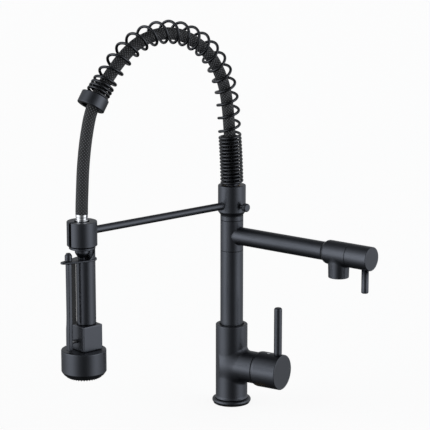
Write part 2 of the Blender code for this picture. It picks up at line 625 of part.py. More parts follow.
def docking(spout):
    """The collar on the column, the rod, and the slotted ring that parks the spray head."""
    collar = turned("docking_collar", [
        (COLLAR_RADIUS - EDGE, COLLAR_TOP), (COLLAR_RADIUS, COLLAR_TOP - EDGE),
        (COLLAR_RADIUS, COLLAR_BOTTOM + COLLAR_TAPER), (COLUMN_RADIUS, COLLAR_BOTTOM + EDGE),
        (COLUMN_RADIUS, COLLAR_BOTTOM), (CORE_RADIUS + RUN, COLLAR_BOTTOM),
        (CORE_RADIUS + RUN, COLLAR_TOP)], closed=True, finish=BLACK, parent=spout, steps=26)
    rod_start = COLLAR_RADIUS - ROD_IN_COLLAR
    rod_end = REACH - DOCK_RADIUS + ROD_IN_RING
    height = (0.0, 0.0, ROD_HEIGHT)
    hole = ROD_RADIUS + PIN_CLEARANCE
    drill(collar, "rod_hole", hole, rod_start - GAP, COLLAR_RADIUS + EDGE, spout, height,
          ALONG_MINUS_Y)
    drill(collar, "knob_hole", SCREW_RADIUS + PIN_CLEARANCE, CORE_RADIUS - EDGE,
          COLLAR_RADIUS + EDGE, spout, height, ALONG_X, steps=12)
    bar("docking_rod", ROD_RADIUS, rod_start, rod_end, finish=BLACK, parent=spout,
        location=height, rotation=ALONG_MINUS_Y)
    dock = ring("docking_ring", DOCK_RADIUS, DOCK_BORE_RADIUS, DOCK_BOTTOM, DOCK_TOP, edge=EDGE,
                finish=BLACK, parent=spout, location=(0.0, -REACH, 0.0), steps=30)
    slot = block("dock_slot", (-DOCK_SLOT_WIDTH / 2, -2 * DOCK_RADIUS, DOCK_BOTTOM - EDGE),
                 (DOCK_SLOT_WIDTH / 2, 0.0, DOCK_TOP + EDGE), parent=spout,
                 location=(0.0, -REACH, 0.0), collection=cutters)
    boolean(dock, slot)
    drill(dock, "dock_rod_hole", hole, REACH - DOCK_RADIUS - EDGE, rod_end + GAP, spout, height,
          ALONG_MINUS_Y)


def lock_knob(knob):
    """The thumb screw that clamps the docking collar to the column."""
    head = COLLAR_RADIUS + KNOB_STAND_OFF
    turned("lock_knob", [
        (0.0, head + KNOB_LENGTH), (KNOB_RADIUS - EDGE, head + KNOB_LENGTH),
        (KNOB_RADIUS, head + KNOB_LENGTH - EDGE), (KNOB_RADIUS, head + EDGE),
        (KNOB_RADIUS - EDGE, head), (SCREW_RADIUS, head), (SCREW_RADIUS, CORE_RADIUS + 2 * RUN),
        (0.0, CORE_RADIUS + 2 * RUN)], finish=BLACK, parent=knob, rotation=ALONG_X, steps=16)


def arch_point(point):
    """A route's point as (distance over the sink, height)."""
    share, height = point
    return Vector((share * REACH, COLLAR_TOP + height))


def smooth_route(route, step):
    """Points a step apart on a smooth curve through the route's own points."""
    points = [arch_point(point) for point in route]
    ends = [2 * points[0] - points[1]] + points + [2 * points[-1] - points[-2]]
    fine = []
    samples = 24
    for before, start, end, after in zip(ends, ends[1:], ends[2:], ends[3:]):
        for i in range(samples):
            t = i / samples
            fine.append(0.5 * (2 * start + (end - before) * t
                               + (2 * before - 5 * start + 4 * end - after) * t ** 2
                               + (3 * start - before - 3 * end + after) * t ** 3))
    fine.append(points[-1])
    lengths = [0.0]
    for a, b in zip(fine, fine[1:]):
        lengths.append(lengths[-1] + (b - a).length)
    count = max(2, round(lengths[-1] / step))
    even = []
    i = 0
    for n in range(count + 1):
        want = lengths[-1] * n / count
        while i < len(fine) - 2 and lengths[i + 1] < want:
            i += 1
        span = lengths[i + 1] - lengths[i]
        even.append(fine[i].lerp(fine[i + 1], (want - lengths[i]) / span))
    return even, lengths[-1]


def tube_curve(name, points, radius, resolution, finish, parent):
    """A round wire or hose along points, its ends closed."""
    data = bpy.data.curves.new(name, "CURVE")
    data.dimensions = "3D"
    data.bevel_depth = radius
    data.bevel_resolution = resolution
    data.use_fill_caps = True
    spline = data.splines.new("POLY")
    spline.points.add(len(points) - 1)
    for target, point in zip(spline.points, points):
        target.co = (*point, 1.0)
    spline.use_smooth = True
    obj = bpy.data.objects.new(name, data)
    return place(obj, parent, HERE, UPRIGHT, parts, finish)


def pitch_at(distance, whole):
    """The spring's pitch, close wound at both ends and open between."""
    from_start = (distance - CLOSE_LENGTH) / PITCH_CHANGE
    to_end = (whole - END_CLOSE_LENGTH - distance) / END_PITCH_CHANGE
    openness = max(0.0, min(1.0, from_start, to_end))
    openness = openness * openness * (3 - 2 * openness)
    return CLOSE_PITCH + (OPEN_PITCH - CLOSE_PITCH) * openness


def spring(spout):
    """The coil spring that carries the hose in an arch."""
    route, whole = smooth_route(SPRING_ROUTE, 0.0005)
    step = whole / (len(route) - 1)
    points = []
    turns = 0.0
    next_point = 0.0
    for i, here in enumerate(route):
        if turns >= next_point or i == len(route) - 1:
            ahead = route[min(i + 1, len(route) - 1)] - route[max(i - 1, 0)]
            along = ahead.normalized()
            outward = Vector((-along.y, along.x))
            angle = COIL_PHASE - 2 * math.pi * turns
            side = COIL_RADIUS * math.sin(angle)
            centre = here + outward * COIL_RADIUS * math.cos(angle)
            points.append((side, -centre.x, centre.y))
            next_point += 1 / POINTS_PER_TURN
        turns += step / pitch_at(i * step, whole)
    tube_curve("spring", points, WIRE_RADIUS, 1, WIRE_BLACK, spout)


def spout_inside(spout):
    """What the spring and the hose stand on at the column's top, and the hose itself."""
    outer = COIL_RADIUS * math.cos(math.pi / POINTS_PER_TURN) - WIRE_RADIUS - 2 * RUN
    ring("spring_seat", outer, outer - SEAT_WALL, COLLAR_TOP + GAP, COLLAR_TOP + SEAT_HEIGHT,
         finish=BRASS, parent=spout, steps=16)
    turned("hose_fitting", [
        (FITTING_RADIUS, COLLAR_TOP + FITTING_HEIGHT), (FITTING_RADIUS, COLLAR_TOP + GAP),
        (CORE_BORE_RADIUS - EDGE, COLLAR_TOP + GAP),
        (CORE_BORE_RADIUS - EDGE, COLLAR_TOP + FITTING_HEIGHT)],
        closed=True, finish=BRASS, parent=spout, steps=16)
    route, whole = smooth_route(HOSE_ROUTE, HOSE_STEP)
    tube_curve("hose", [(0.0, -p.x, p.y) for p in route], HOSE_RADIUS, 3, BRAID, spout)


def end_nut(head):
    """The collar that closes the spring's lower end round the hose."""
    half = END_NUT_LENGTH / 2
    recess = COIL_RADIUS + WIRE_RADIUS + 2 * RUN
    spring_end = arch_point(SPRING_ROUTE[-1])
    along = (spring_end - arch_point(SPRING_ROUTE[-2])).normalized()
    centre = spring_end + along * END_NUT_AHEAD
    lean = math.atan2(along.x, -along.y) - END_NUT_SAG
    turned("spring_end_nut", [
        (recess, half), (END_NUT_RADIUS - EDGE, half), (END_NUT_RADIUS, half - EDGE),
        (END_NUT_RADIUS, -half + EDGE), (END_NUT_RADIUS - EDGE, -half),
        (END_NUT_BORE_RADIUS + EDGE, -half), (END_NUT_BORE_RADIUS, -half + EDGE),
        (END_NUT_BORE_RADIUS, half - END_NUT_RECESS), (recess, half - END_NUT_RECESS)],
        closed=True, finish=BLACK, parent=head,
        location=(0.0, REACH - centre.x, centre.y), rotation=(-lean, 0.0, 0.0), steps=26)


def head_neck(head):
    """From the hose down to the grip: crimped ferrule, swivel nut and ball neck."""
    top = HOSE_END - GAP
    ring("hose_ferrule", FERRULE_RADIUS, FERRULE_BORE_RADIUS, top - FERRULE_LENGTH, top,
         finish=CHROME, parent=head, steps=20)
    swivel_top = top - FERRULE_LENGTH - GAP
    ring("hose_swivel_nut", SWIVEL_RADIUS, SWIVEL_BORE_RADIUS, NECK_FLANGE_TOP + GAP,
         swivel_top, edge=EDGE, finish=CHROME, parent=head, steps=20)
    under = NECK_FLANGE_TOP - NECK_FLANGE_THICKNESS
    ball = [(NECK_BALL_RADIUS * math.cos(a), under - NECK_BALL_DEPTH * math.sin(a))
            for a in (math.radians(angle) for angle in (0, 25, 50))]
    turned("spray_neck", [
        (NECK_FLANGE_RADIUS - EDGE, NECK_FLANGE_TOP), (NECK_FLANGE_RADIUS, NECK_FLANGE_TOP - EDGE),
        (NECK_FLANGE_RADIUS, under + EDGE), (NECK_FLANGE_RADIUS - EDGE, under)] + ball + [
        (NECK_STEM_RADIUS, YOKE_TOP + EDGE), (NECK_STEM_RADIUS, NECK_BOTTOM),
        (FLOW_TUBE_RADIUS - FLOW_TUBE_WALL, NECK_BOTTOM),
        (FLOW_TUBE_RADIUS - FLOW_TUBE_WALL, NECK_FLANGE_TOP)],
        closed=True, finish=BLACK, parent=head, steps=22)


def arc_points(centre, radius, count, start=0.0, span=2 * math.pi):
    """Curve points along an arc, or round a whole circle."""
    return [(centre[0] + radius * math.cos(start + span * i / count),
             centre[1] + radius * math.sin(start + span * i / count), 0.0, 1.0)
            for i in range(count)]


def head_yoke(head):
    """The plate on top of the grip: round at the grip, a blunt tip beyond the trigger."""
    data = bpy.data.curves.new("head_yoke", "CURVE")
    data.dimensions = "2D"
    data.fill_mode = "BOTH"
    data.extrude = YOKE_THICKNESS / 2
    spread = YOKE_TIP_OUT + GRIP_OFFSET
    lean = math.asin((YOKE_ROUND_RADIUS - YOKE_TIP_RADIUS) / spread)
    count = 18
    rear = arc_points((0.0, GRIP_OFFSET), YOKE_ROUND_RADIUS, count, -lean,
                      (math.pi + 2 * lean) * count / (count - 1))
    tip = arc_points((0.0, -YOKE_TIP_OUT), YOKE_TIP_RADIUS, count // 2,
                     math.pi + lean, (math.pi - 2 * lean) * (count // 2) / (count // 2 - 1))
    outlines = [rear + tip,
                arc_points((0.0, 0.0), NECK_STEM_RADIUS + GAP, 18),
                arc_points((0.0, -TRIGGER_OUT), TRIGGER_HOLE_RADIUS, 14)]
    for outline in outlines:
        spline = data.splines.new("POLY")
        spline.points.add(len(outline) - 1)
        for target, point in zip(spline.points, outline):
            target.co = point
        spline.use_cyclic_u = True
    obj = bpy.data.objects.new("head_yoke", data)
    place(obj, head, (0.0, 0.0, YOKE_TOP - YOKE_THICKNESS / 2), UPRIGHT, parts, BLACK)


def head_grip(head):
    """The grip tube, the water way in it and the valve block under it."""
    ring("grip_tube", GRIP_RADIUS, GRIP_RADIUS - GRIP_WALL, BLOCK_TOP + GAP, GRIP_TOP,
         finish=BLACK, parent=head, location=(0.0, GRIP_OFFSET, 0.0), steps=26)
    ring("flow_tube", FLOW_TUBE_RADIUS, FLOW_TUBE_RADIUS - FLOW_TUBE_WALL, BLOCK_TOP + GAP,
         GRIP_TOP, finish=STEEL, parent=head, location=(0.0, FLOW_OFFSET, 0.0), steps=12)
    valve = block("valve_block", (-BLOCK_WIDTH / 2, BLOCK_OFFSET - BLOCK_DEPTH / 2, BELL_TOP + GAP),
                  (BLOCK_WIDTH / 2, BLOCK_OFFSET + BLOCK_DEPTH / 2, BLOCK_TOP), finish=BLACK,
                  parent=head, edge=BLOCK_EDGE)
    drill(valve, "block_way", FLOW_TUBE_RADIUS - FLOW_TUBE_WALL, BELL_TOP - EDGE,
          BLOCK_TOP + EDGE, head, (0.0, FLOW_OFFSET, 0.0), UPRIGHT, steps=12)
    drill(valve, "plunger_hole", PLUNGER_HOLE_RADIUS, PLUNGER_HOLE_END, BLOCK_DEPTH, head,
          (0.0, 0.0, PLUNGER_HEIGHT), ALONG_MINUS_Y, steps=12)


def spray_bell(head):
    """The round foot of the spray head with its spreader, nozzle mat and face plate."""
    way = FLOW_TUBE_RADIUS
    inner = BELL_RADIUS - BELL_WALL
    turned("spray_bell", [
        (way, BELL_TOP), (BELL_RADIUS - EDGE, BELL_TOP), (BELL_RADIUS, BELL_TOP - EDGE),
        (BELL_RADIUS, BELL_BOTTOM + BELL_CHAMFER), (BELL_RADIUS - BELL_CHAMFER, BELL_BOTTOM),
        (inner, BELL_BOTTOM), (inner, BELL_TOP - BELL_WALL), (way, BELL_TOP - BELL_WALL)],
        closed=True, finish=BLACK, parent=head, steps=30)
    face_top = FACE_BOTTOM + FACE_THICKNESS
    turned("spray_face", [
        (0.0, face_top), (FACE_RADIUS, face_top), (FACE_RADIUS, BELL_BOTTOM + GAP),
        (FACE_RADIUS - 2 * EDGE, FACE_BOTTOM), (0.0, FACE_BOTTOM)],
        finish=BLACK, parent=head, steps=26)
    mat_top = face_top + GAP + MAT_THICKNESS
    bar("nozzle_mat", FACE_RADIUS - EDGE, face_top + GAP, mat_top, finish=GREY_SILICONE,
        parent=head, steps=20)
    ring("water_spreader", FACE_RADIUS - EDGE, way, mat_top + GAP,
         mat_top + GAP + SPREADER_THICKNESS, finish=WHITE_PLASTIC, parent=head, steps=20)


def trigger(pivot):
    """The ribbed squeeze bar that hangs from the yoke by its knob, and the plunger it pushes."""
    hinge = YOKE_TOP - YOKE_THICKNESS / 2
    top = YOKE_TOP - YOKE_THICKNESS - TRIGGER_HEAD_GAP - hinge
    foot = BELL_TOP + TRIGGER_FOOT_GAP - hinge
    half = TRIGGER_THICKNESS / 2
    lever = block("trigger_bar", (-TRIGGER_WIDTH / 2, -half, foot),
                  (TRIGGER_WIDTH / 2, half, top), finish=BLACK, parent=pivot, edge=EDGE)
    rib = block("trigger_rib", (-TRIGGER_RIB_WIDTH / 2, half - EDGE, BLOCK_TOP + 2 * EDGE - hinge),
                (TRIGGER_RIB_WIDTH / 2, half + TRIGGER_RIB_DEPTH, top - EDGE), parent=pivot,
                collection=cutters)
    boolean(lever, rib, "UNION")
    pin_end = top - 2 * TRIGGER_THICKNESS
    drill(lever, "trigger_pin_hole", TRIGGER_THREAD_RADIUS + PIN_CLEARANCE, pin_end,
          top + EDGE, pivot, HERE, UPRIGHT, steps=12)
    under_knob = YOKE_TOP + 2 * GAP - hinge
    knob_top = under_knob + TRIGGER_KNOB_HEIGHT
    turned("trigger_knob", [
        (0.0, knob_top), (TRIGGER_KNOB_RADIUS * 0.6, knob_top - EDGE / 2),
        (TRIGGER_KNOB_RADIUS - EDGE / 2, knob_top - 2 * EDGE),
        (TRIGGER_KNOB_RADIUS, knob_top - 4 * EDGE), (TRIGGER_KNOB_RADIUS, under_knob),
        (TRIGGER_PIN_RADIUS, under_knob), (TRIGGER_PIN_RADIUS, top + GAP),
        (TRIGGER_THREAD_RADIUS, top + GAP), (TRIGGER_THREAD_RADIUS, pin_end + GAP),
        (0.0, pin_end + GAP)], finish=BLACK, parent=pivot, steps=16)
    bar("trigger_plunger", PLUNGER_RADIUS, PLUNGER_END - TRIGGER_OUT, -half - GAP,
        finish=STEEL, parent=pivot, location=(0.0, 0.0, PLUNGER_HEIGHT - hinge),
        rotation=ALONG_MINUS_Y, steps=12)


def build():
    handle_axis = empty("handle_axis", None, (0.0, 0.0, HANDLE_HEIGHT), HANDLE_ANGLE)
    handle_turret = empty("handle_turret", handle_axis)
    handle_tilt = empty("handle_tilt", handle_turret, (PIVOT_OUT, 0.0, 0.0))
    filler_swing = empty("filler_swing", None, (0.0, 0.0, FILLER_HEIGHT), FILLER_ANGLE)
    filler_turn = empty("filler_turn", filler_swing)
    spout = empty("spout_axis")
    knob = empty("knob_axis", spout, (0.0, 0.0, ROD_HEIGHT))
    head = empty("head_axis", spout, (0.0, -REACH, 0.0))
    hinge_height = YOKE_TOP - YOKE_THICKNESS / 2
    trigger_pivot = empty("trigger_pivot", head, (0.0, -TRIGGER_OUT, hinge_height))
    base_and_clamp()
    valve_body(handle_axis)
    cartridge(handle_axis, handle_turret)
    mixer_handle(handle_tilt)
    column()
    stem_start = pot_filler(filler_swing)
    filler_handle(filler_turn, stem_start)
    docking(spout)
    lock_knob(knob)
    spring(spout)
    spout_inside(spout)
    end_nut(head)
    head_neck(head)
    head_yoke(head)
    head_grip(head)
    spray_bell(head)
    trigger(trigger_pivot)


clear_scene()
parts = new_collection("pull_down_kitchen_faucet")
cutters = new_collection("cutters")
build()
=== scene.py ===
import json
import math

import bmesh
import bpy
import numpy as np
from mathutils import Matrix, Vector


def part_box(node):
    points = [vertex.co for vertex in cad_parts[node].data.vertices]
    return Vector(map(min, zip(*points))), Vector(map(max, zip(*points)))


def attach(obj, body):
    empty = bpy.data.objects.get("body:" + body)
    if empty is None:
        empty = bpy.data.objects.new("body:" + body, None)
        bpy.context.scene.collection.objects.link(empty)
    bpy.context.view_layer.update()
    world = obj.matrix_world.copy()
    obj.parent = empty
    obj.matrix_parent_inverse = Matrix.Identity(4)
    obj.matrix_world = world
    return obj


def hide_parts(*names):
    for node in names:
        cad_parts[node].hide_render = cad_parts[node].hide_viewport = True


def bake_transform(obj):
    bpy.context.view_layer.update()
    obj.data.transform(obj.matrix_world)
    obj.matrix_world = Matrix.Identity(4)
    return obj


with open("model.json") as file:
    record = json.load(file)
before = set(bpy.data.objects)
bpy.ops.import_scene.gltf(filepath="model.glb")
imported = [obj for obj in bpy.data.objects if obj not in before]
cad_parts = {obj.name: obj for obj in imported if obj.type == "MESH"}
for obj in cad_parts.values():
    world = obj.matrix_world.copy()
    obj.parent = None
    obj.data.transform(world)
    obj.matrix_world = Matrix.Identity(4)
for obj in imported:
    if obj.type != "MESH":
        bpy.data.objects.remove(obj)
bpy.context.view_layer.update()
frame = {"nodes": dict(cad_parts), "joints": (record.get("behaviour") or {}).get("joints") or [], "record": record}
joints = {joint["name"]: joint for joint in frame["joints"]}
print("frame loaded with", len(frame["nodes"]), "CAD nodes")

scene = bpy.context.scene
scene.view_settings.view_transform = "Standard"
turn = 2 * math.pi


# ---- small helpers for places ----
def low(node):
    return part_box(node)[0].z


def high(node):
    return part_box(node)[1].z


def standAt(origin, direction=(0, 0, 1)):
    # a frame whose Z runs along direction and whose X stays as level as it can
    along = Vector(direction).normalized()
    aside = Vector((0, 0, 1)).cross(along)
    aside = aside.normalized() if aside.length > 1e-6 else Vector((1, 0, 0))
    across = along.cross(aside)
    turned3 = Matrix((aside, across, along)).transposed()
    return Matrix.Translation(Vector(origin)) @ turned3.to_4x4()


# ---- camera ----
cameraPlace = {
    "target": (-0.0131, -0.0158, 0.2376),
    "azimuth": 49.18,
    "elevation": 12.54,
    "distance": 2.379,
    "lens": 163.7,
}


def makeCamera(place):
    data = bpy.data.cameras.new("camera")
    data.lens = place["lens"]
    data.sensor_width = 36
    data.clip_start, data.clip_end = 0.05, 200
    camera = bpy.data.objects.new("camera", data)
    scene.collection.objects.link(camera)
    azimuth, elevation = (math.radians(place[key]) for key in ("azimuth", "elevation"))
    back = Vector((math.sin(azimuth) * math.cos(elevation),
                   -math.cos(azimuth) * math.cos(elevation), math.sin(elevation)))
    camera.location = Vector(place["target"]) + back * place["distance"]
    camera.rotation_mode = "QUATERNION"
    camera.rotation_quaternion = (-back).to_track_quat("-Z", "Y")
    scene.camera = camera


makeCamera(cameraPlace)
print("camera set")


# ---- node trees written as expressions ----
class Signal:
    # a socket of a tree: arithmetic on it adds Math nodes
    def __init__(self, tree, socket):
        self.tree = tree
        self.socket = socket

    def math(self, operation, *values):
        return self.tree.put("ShaderNodeMath", {"operation": operation}, dict(enumerate(values)))

    def __add__(self, other):
        return self.math("ADD", self, other)

    def __radd__(self, other):
        return self.math("ADD", other, self)

    def __sub__(self, other):
        return self.math("SUBTRACT", self, other)

    def __rsub__(self, other):
        return self.math("SUBTRACT", other, self)

    def __mul__(self, other):
        return self.math("MULTIPLY", self, other)

    def __rmul__(self, other):
        return self.math("MULTIPLY", other, self)

    def __truediv__(self, other):
        return self.math("DIVIDE", self, other)

    def __rtruediv__(self, other):
        return self.math("DIVIDE", other, self)

    def __neg__(self):
        return self.math("MULTIPLY", self, -1.0)

    def __gt__(self, other):
        return self.math("GREATER_THAN", self, other)

    def __lt__(self, other):
        return self.math("LESS_THAN", self, other)

    def cos(self):
        return self.math("COSINE", self)

    def sin(self):
        return self.math("SINE", self)

    def floor(self):
        return self.math("FLOOR", self)

    def larger(self, other):
        return self.math("MAXIMUM", self, other)

    def power(self, exponent):
        return self.math("POWER", self, exponent)

    def modulo(self, other):
        return self.math("MODULO", self, other)


class Tree:
    # one method adds any node: its type, its settings, and values or signals for its inputs
    def __init__(self, tree):
        self.tree = tree

    def put(self, kind, settings=None, values=None, output=0):
        node = self.tree.nodes.new(kind)
        for name, setting in (settings or {}).items():
            if name == "stops":
                ramp = node.color_ramp.elements
                while len(ramp) < len(setting):
                    ramp.new(0.5)
                for stop, (position, shade) in zip(ramp, setting):
                    stop.position, stop.color = position, (shade, shade, shade, 1.0)
            else:
                setattr(node, name, setting)
        for name, value in (values or {}).items():
            self.join(value, node.inputs[name])
        return Signal(self, node.outputs[output])

    def join(self, value, socket):
        if isinstance(value, Signal):
            self.tree.links.new(value.socket, socket)
        else:
            socket.default_value = value


def xyz(tree, signal):
    node = tree.tree.nodes.new("ShaderNodeSeparateXYZ")
    tree.join(signal, node.inputs[0])
    return [Signal(tree, output) for output in node.outputs]


# ---- finishes ----
finishes = {}


def newFinish(name):
    made = bpy.data.materials.new(name)
    made.use_nodes = True
    tree = Tree(made.node_tree)
    shader = made.node_tree.nodes["Principled BSDF"]
    finishes[name] = made
    return tree, shader


def fill(tree, shader, **values):
    for name, value in values.items():
        socket = shader.inputs[name.replace("_", " ")]
        if isinstance(value, tuple):
            value = (*value, 1.0)
        tree.join(value, socket)


def tinted(tree, dark, light, factor):
    # a colour between two, by a number that changes over the surface
    node = tree.tree.nodes.new("ShaderNodeMix")
    node.data_type = "RGBA"
    tree.join(factor, node.inputs[0])
    for colour, socket in ((dark, node.inputs[6]), (light, node.inputs[7])):
        tree.join((*colour, 1.0) if isinstance(colour, tuple) else colour, socket)
    return Signal(tree, node.outputs[2])


def objectSpace(tree):
    return tree.put("ShaderNodeTexCoord", output=3)


def noise(tree, scale, detail=3.0, roughness=0.5, vector=None):
    return tree.put("ShaderNodeTexNoise", None, {
        "Vector": vector or objectSpace(tree), "Scale": scale, "Detail": detail,
        "Roughness": roughness})


def bump(tree, height, strength, distance):
    return tree.put("ShaderNodeBump", None, {
        "Height": height, "Strength": strength, "Distance": distance})


coat = {"dark": (0.074, 0.079, 0.091), "light": (0.098, 0.104, 0.120), "roughness": 0.37,
        "spread": 0.08, "grain": 2600, "grainHeight": 0.00006, "grainStrength": 0.14}


def makeBlackCoat(name, settings):
    tree, shader = newFinish(name)
    broad = noise(tree, 22, 2)
    grain = noise(tree, settings["grain"], 3, 0.6)
    specks = tree.put("ShaderNodeTexVoronoi", None, {
        "Vector": objectSpace(tree), "Scale": settings["grain"] * 0.4})
    rough = settings["roughness"] + settings["spread"] * (broad - 0.5) + 0.10 * (grain - 0.5)
    fill(tree, shader, Base_Color=tinted(tree, settings["dark"], settings["light"], broad),
         Roughness=rough, Metallic=1.0,
         Normal=bump(tree, grain + 0.4 * specks, settings["grainStrength"],
                     settings["grainHeight"]))


makeBlackCoat("black_coat", coat)

wireCoat = {"dark": (0.050, 0.052, 0.058), "light": (0.070, 0.073, 0.080), "roughness": 0.24,
            "spread": 0.06, "grain": 3500, "grainHeight": 0.00003, "grainStrength": 0.08}
makeBlackCoat("spring_coat", wireCoat)


def makeMetal(name, dark, light, roughness, scale):
    # turned or brushed metal: fine rings of tool marks and a slow change of tone
    tree, shader = newFinish(name)
    cloud = noise(tree, 40, 3)
    place = tree.put("ShaderNodeMapping", None, {
        "Vector": objectSpace(tree), "Scale": (30.0, 30.0, scale)})
    marks = noise(tree, 1.0, 4, 0.7, place)
    fill(tree, shader, Base_Color=tinted(tree, dark, light, cloud), Metallic=1.0,
         Roughness=roughness + 0.12 * (marks - 0.5),
         Normal=bump(tree, marks, 0.10, 0.00004))


makeMetal("chrome", (0.74, 0.75, 0.77), (0.84, 0.85, 0.87), 0.09, 900)
makeMetal("brass", (0.48, 0.34, 0.13), (0.66, 0.50, 0.22), 0.30, 2200)
makeMetal("steel", (0.46, 0.47, 0.49), (0.62, 0.63, 0.65), 0.30, 2600)


def makeMoulded(name, dark, light, roughness, grain, coatWeight=0.0):
    tree, shader = newFinish(name)
    cloud = noise(tree, 60, 3)
    fine = noise(tree, grain, 3, 0.6)
    fill(tree, shader, Base_Color=tinted(tree, dark, light, cloud),
         Roughness=roughness + 0.14 * (fine - 0.5), Coat_Weight=coatWeight,
         Normal=bump(tree, fine, 0.18, 0.00006))


makeMoulded("rubber", (0.010, 0.010, 0.011), (0.020, 0.020, 0.021), 0.72, 1800)
makeMoulded("valve_plastic", (0.66, 0.66, 0.63), (0.78, 0.78, 0.75), 0.42, 1500)
makeMoulded("nozzle_silicone", (0.085, 0.088, 0.095), (0.125, 0.128, 0.135), 0.55, 1600)
makeMoulded("indicator_plastic", (0.40, 0.41, 0.43), (0.62, 0.63, 0.65), 0.30, 1500, 0.3)

# black is the braid's own colour; the other two colours are painted light: a painted sheen on the strand crowns
# and painted highlight dots on every other crown
weave = {"strands": 24, "cell": 0.0019, "relief": 0.00024, "threads": 3,
         "black": (0.004, 0.004, 0.005), "paintedHighlight": (0.20, 0.21, 0.23),
         "ends": (0.014, 0.0145, 0.016), "roughness": 0.46}


def braidPattern(around, along, settings):
    # two families of strands that cross over and under: how high each stands at this spot
    rise = along / settings["cell"]
    right = around * settings["strands"] + rise
    left = around * settings["strands"] - rise
    rightNumber, leftNumber = right.floor(), left.floor()
    rightAcross, leftAcross = right - rightNumber, left - leftNumber
    rightCrown = 4.0 * rightAcross * (1.0 - rightAcross)
    leftCrown = 4.0 * leftAcross * (1.0 - leftAcross)
    rightHeight = rightCrown * (0.5 + 0.5 * (math.pi * (left - 0.5 + rightNumber)).cos())
    leftHeight = leftCrown * (0.5 - 0.5 * (math.pi * (right - 0.5 + leftNumber)).cos())
    return {"height": rightHeight.larger(leftHeight), "right": rightHeight, "left": leftHeight,
            "rightNumber": rightNumber, "rightAcross": rightAcross, "leftAcross": leftAcross}


def makeBraid(name, settings):
    tree, shader = newFinish(name)
    place = tree.put("ShaderNodeUVMap", {"uv_map": "UVMap"})
    around, along, _ = xyz(tree, place)
    braid = braidPattern(around, along, settings)
    onTop = braid["right"] > braid["left"]
    everyOther = (braid["rightNumber"] * 0.5 + 64.0).modulo(1.0) < 0.25
    # painted highlight: light dots on the crowns of every other strand, where that strand lies on top
    paintedHighlight = onTop * everyOther * (braid["right"].power(1.5))
    across = braid["rightAcross"] * onTop + braid["leftAcross"] * (1.0 - onTop)
    threads = 0.5 + 0.5 * (turn * settings["threads"] * across).cos()
    fuzz = noise(tree, 900, 3)
    # painted shade and sheen: the colour is black in the hollows between strands and threads and lighter on their
    # crowns, with a little random tone
    shade = braid["height"] * (0.6 + 0.4 * threads) * (0.8 + 0.4 * fuzz)
    black = tinted(tree, settings["black"], settings["ends"], shade)
    colour = tinted(tree, black, settings["paintedHighlight"], paintedHighlight * 0.9)
    fill(tree, shader, Base_Color=colour, Roughness=settings["roughness"] + 0.25 * (1.0 - shade),
         Normal=bump(tree, threads * 0.5 + braid["height"], 0.55, 0.00025))


makeBraid("braid", weave)
print("finishes made:", ", ".join(finishes))


# ---- shapes ----
def addPiece(name, mesh):
    piece = bpy.data.objects.new(name, mesh)
    scene.collection.objects.link(piece)
    return piece


def fromFaces(name, points, faces, place=None):
    mesh = bpy.data.meshes.new(name)
    mesh.from_pydata(points, [], faces)
    shape = bmesh.new()
    shape.from_mesh(mesh)
    bmesh.ops.remove_doubles(shape, verts=shape.verts, dist=1e-7)
    bmesh.ops.recalc_face_normals(shape, faces=shape.faces)
    for face in shape.faces:
        face.smooth = True
    shape.to_mesh(mesh)
    shape.free()
    if place:
        mesh.transform(place)
    return addPiece(name, mesh)


def rounded(corners, closed=False, steps=4):
    # an outline from (across, up, fillet), with a point beside each fillet to keep flats flat
    outline = []
    count = len(corners)
    for i, (across, up, fillet) in enumerate(corners):
        here = Vector((across, up))
        if fillet <= 0 or (not closed and i in (0, count - 1)):
            outline.append(here)
            continue
        back = Vector(corners[i - 1][:2]) - here
        ahead = Vector(corners[(i + 1) % count][:2]) - here
        half = back.angle(ahead) / 2
        reach = min(fillet / math.tan(half), 0.46 * back.length, 0.46 * ahead.length)
        back.normalize()
        ahead.normalize()
        radius = reach * math.tan(half)
        centre = here + (back + ahead).normalized() * radius / math.sin(half)
        first = here + back * reach - centre
        last = here + ahead * reach - centre
        outline.append(here + back * reach * 1.06)
        swing = first.angle_signed(last)
        for n in range(steps + 1):
            angle = -swing * n / steps
            outline.append(centre + Vector((
                first.x * math.cos(angle) - first.y * math.sin(angle),
                first.x * math.sin(angle) + first.y * math.cos(angle))))
        outline.append(here + ahead * reach * 1.06)
    return outline


def turned(name, corners, place=None, closed=False, sides=96):
    points, rings = [], []
    for radius, height in rounded(corners, closed):
        if radius < 1e-6:
            rings.append([len(points)])
            points.append((0.0, 0.0, height))
            continue
        rings.append(list(range(len(points), len(points) + sides)))
        points += [(radius * math.cos(turn * n / sides), radius * math.sin(turn * n / sides),
                    height) for n in range(sides)]
    if closed:
        rings.append(rings[0])
    faces = []
    for first, second in zip(rings, rings[1:]):
        for n in range(sides):
            m = (n + 1) % sides
            if len(first) == 1 and len(second) == 1:
                continue
            if len(first) == 1:
                faces.append((first[0], second[m], second[n]))
            elif len(second) == 1:
                faces.append((first[n], first[m], second[0]))
            else:
                faces.append((first[n], first[m], second[m], second[n]))
    return fromFaces(name, points, faces, place)


def tubePiece(name, outer, inner, bottom, top, fillet=0.0003, place=None, sides=96):
    return turned(name, [(outer, top, fillet), (outer, bottom, fillet), (inner, bottom, fillet / 2),
                         (inner, top, fillet / 2)], place, True, sides)


def barPiece(name, radius, bottom, top, fillet=0.0003, place=None, sides=64):
    return turned(name, [(0.0, top, 0), (radius, top, fillet), (radius, bottom, fillet),
                         (0.0, bottom, 0)], place, False, sides)


def loft(name, sections, place=None):
    # closed loops of the same number of points, joined in order and capped at both ends
    count = len(sections[0])
    points = [point for section in sections for point in section]
    faces = []
    for level in range(len(sections) - 1):
        for n in range(count):
            m = (n + 1) % count
            faces.append((level * count + n, level * count + m,
                          (level + 1) * count + m, (level + 1) * count + n))
    faces.append(tuple(range(count)))
    faces.append(tuple(range((len(sections) - 1) * count, len(sections) * count)))
    return fromFaces(name, points, faces, place)


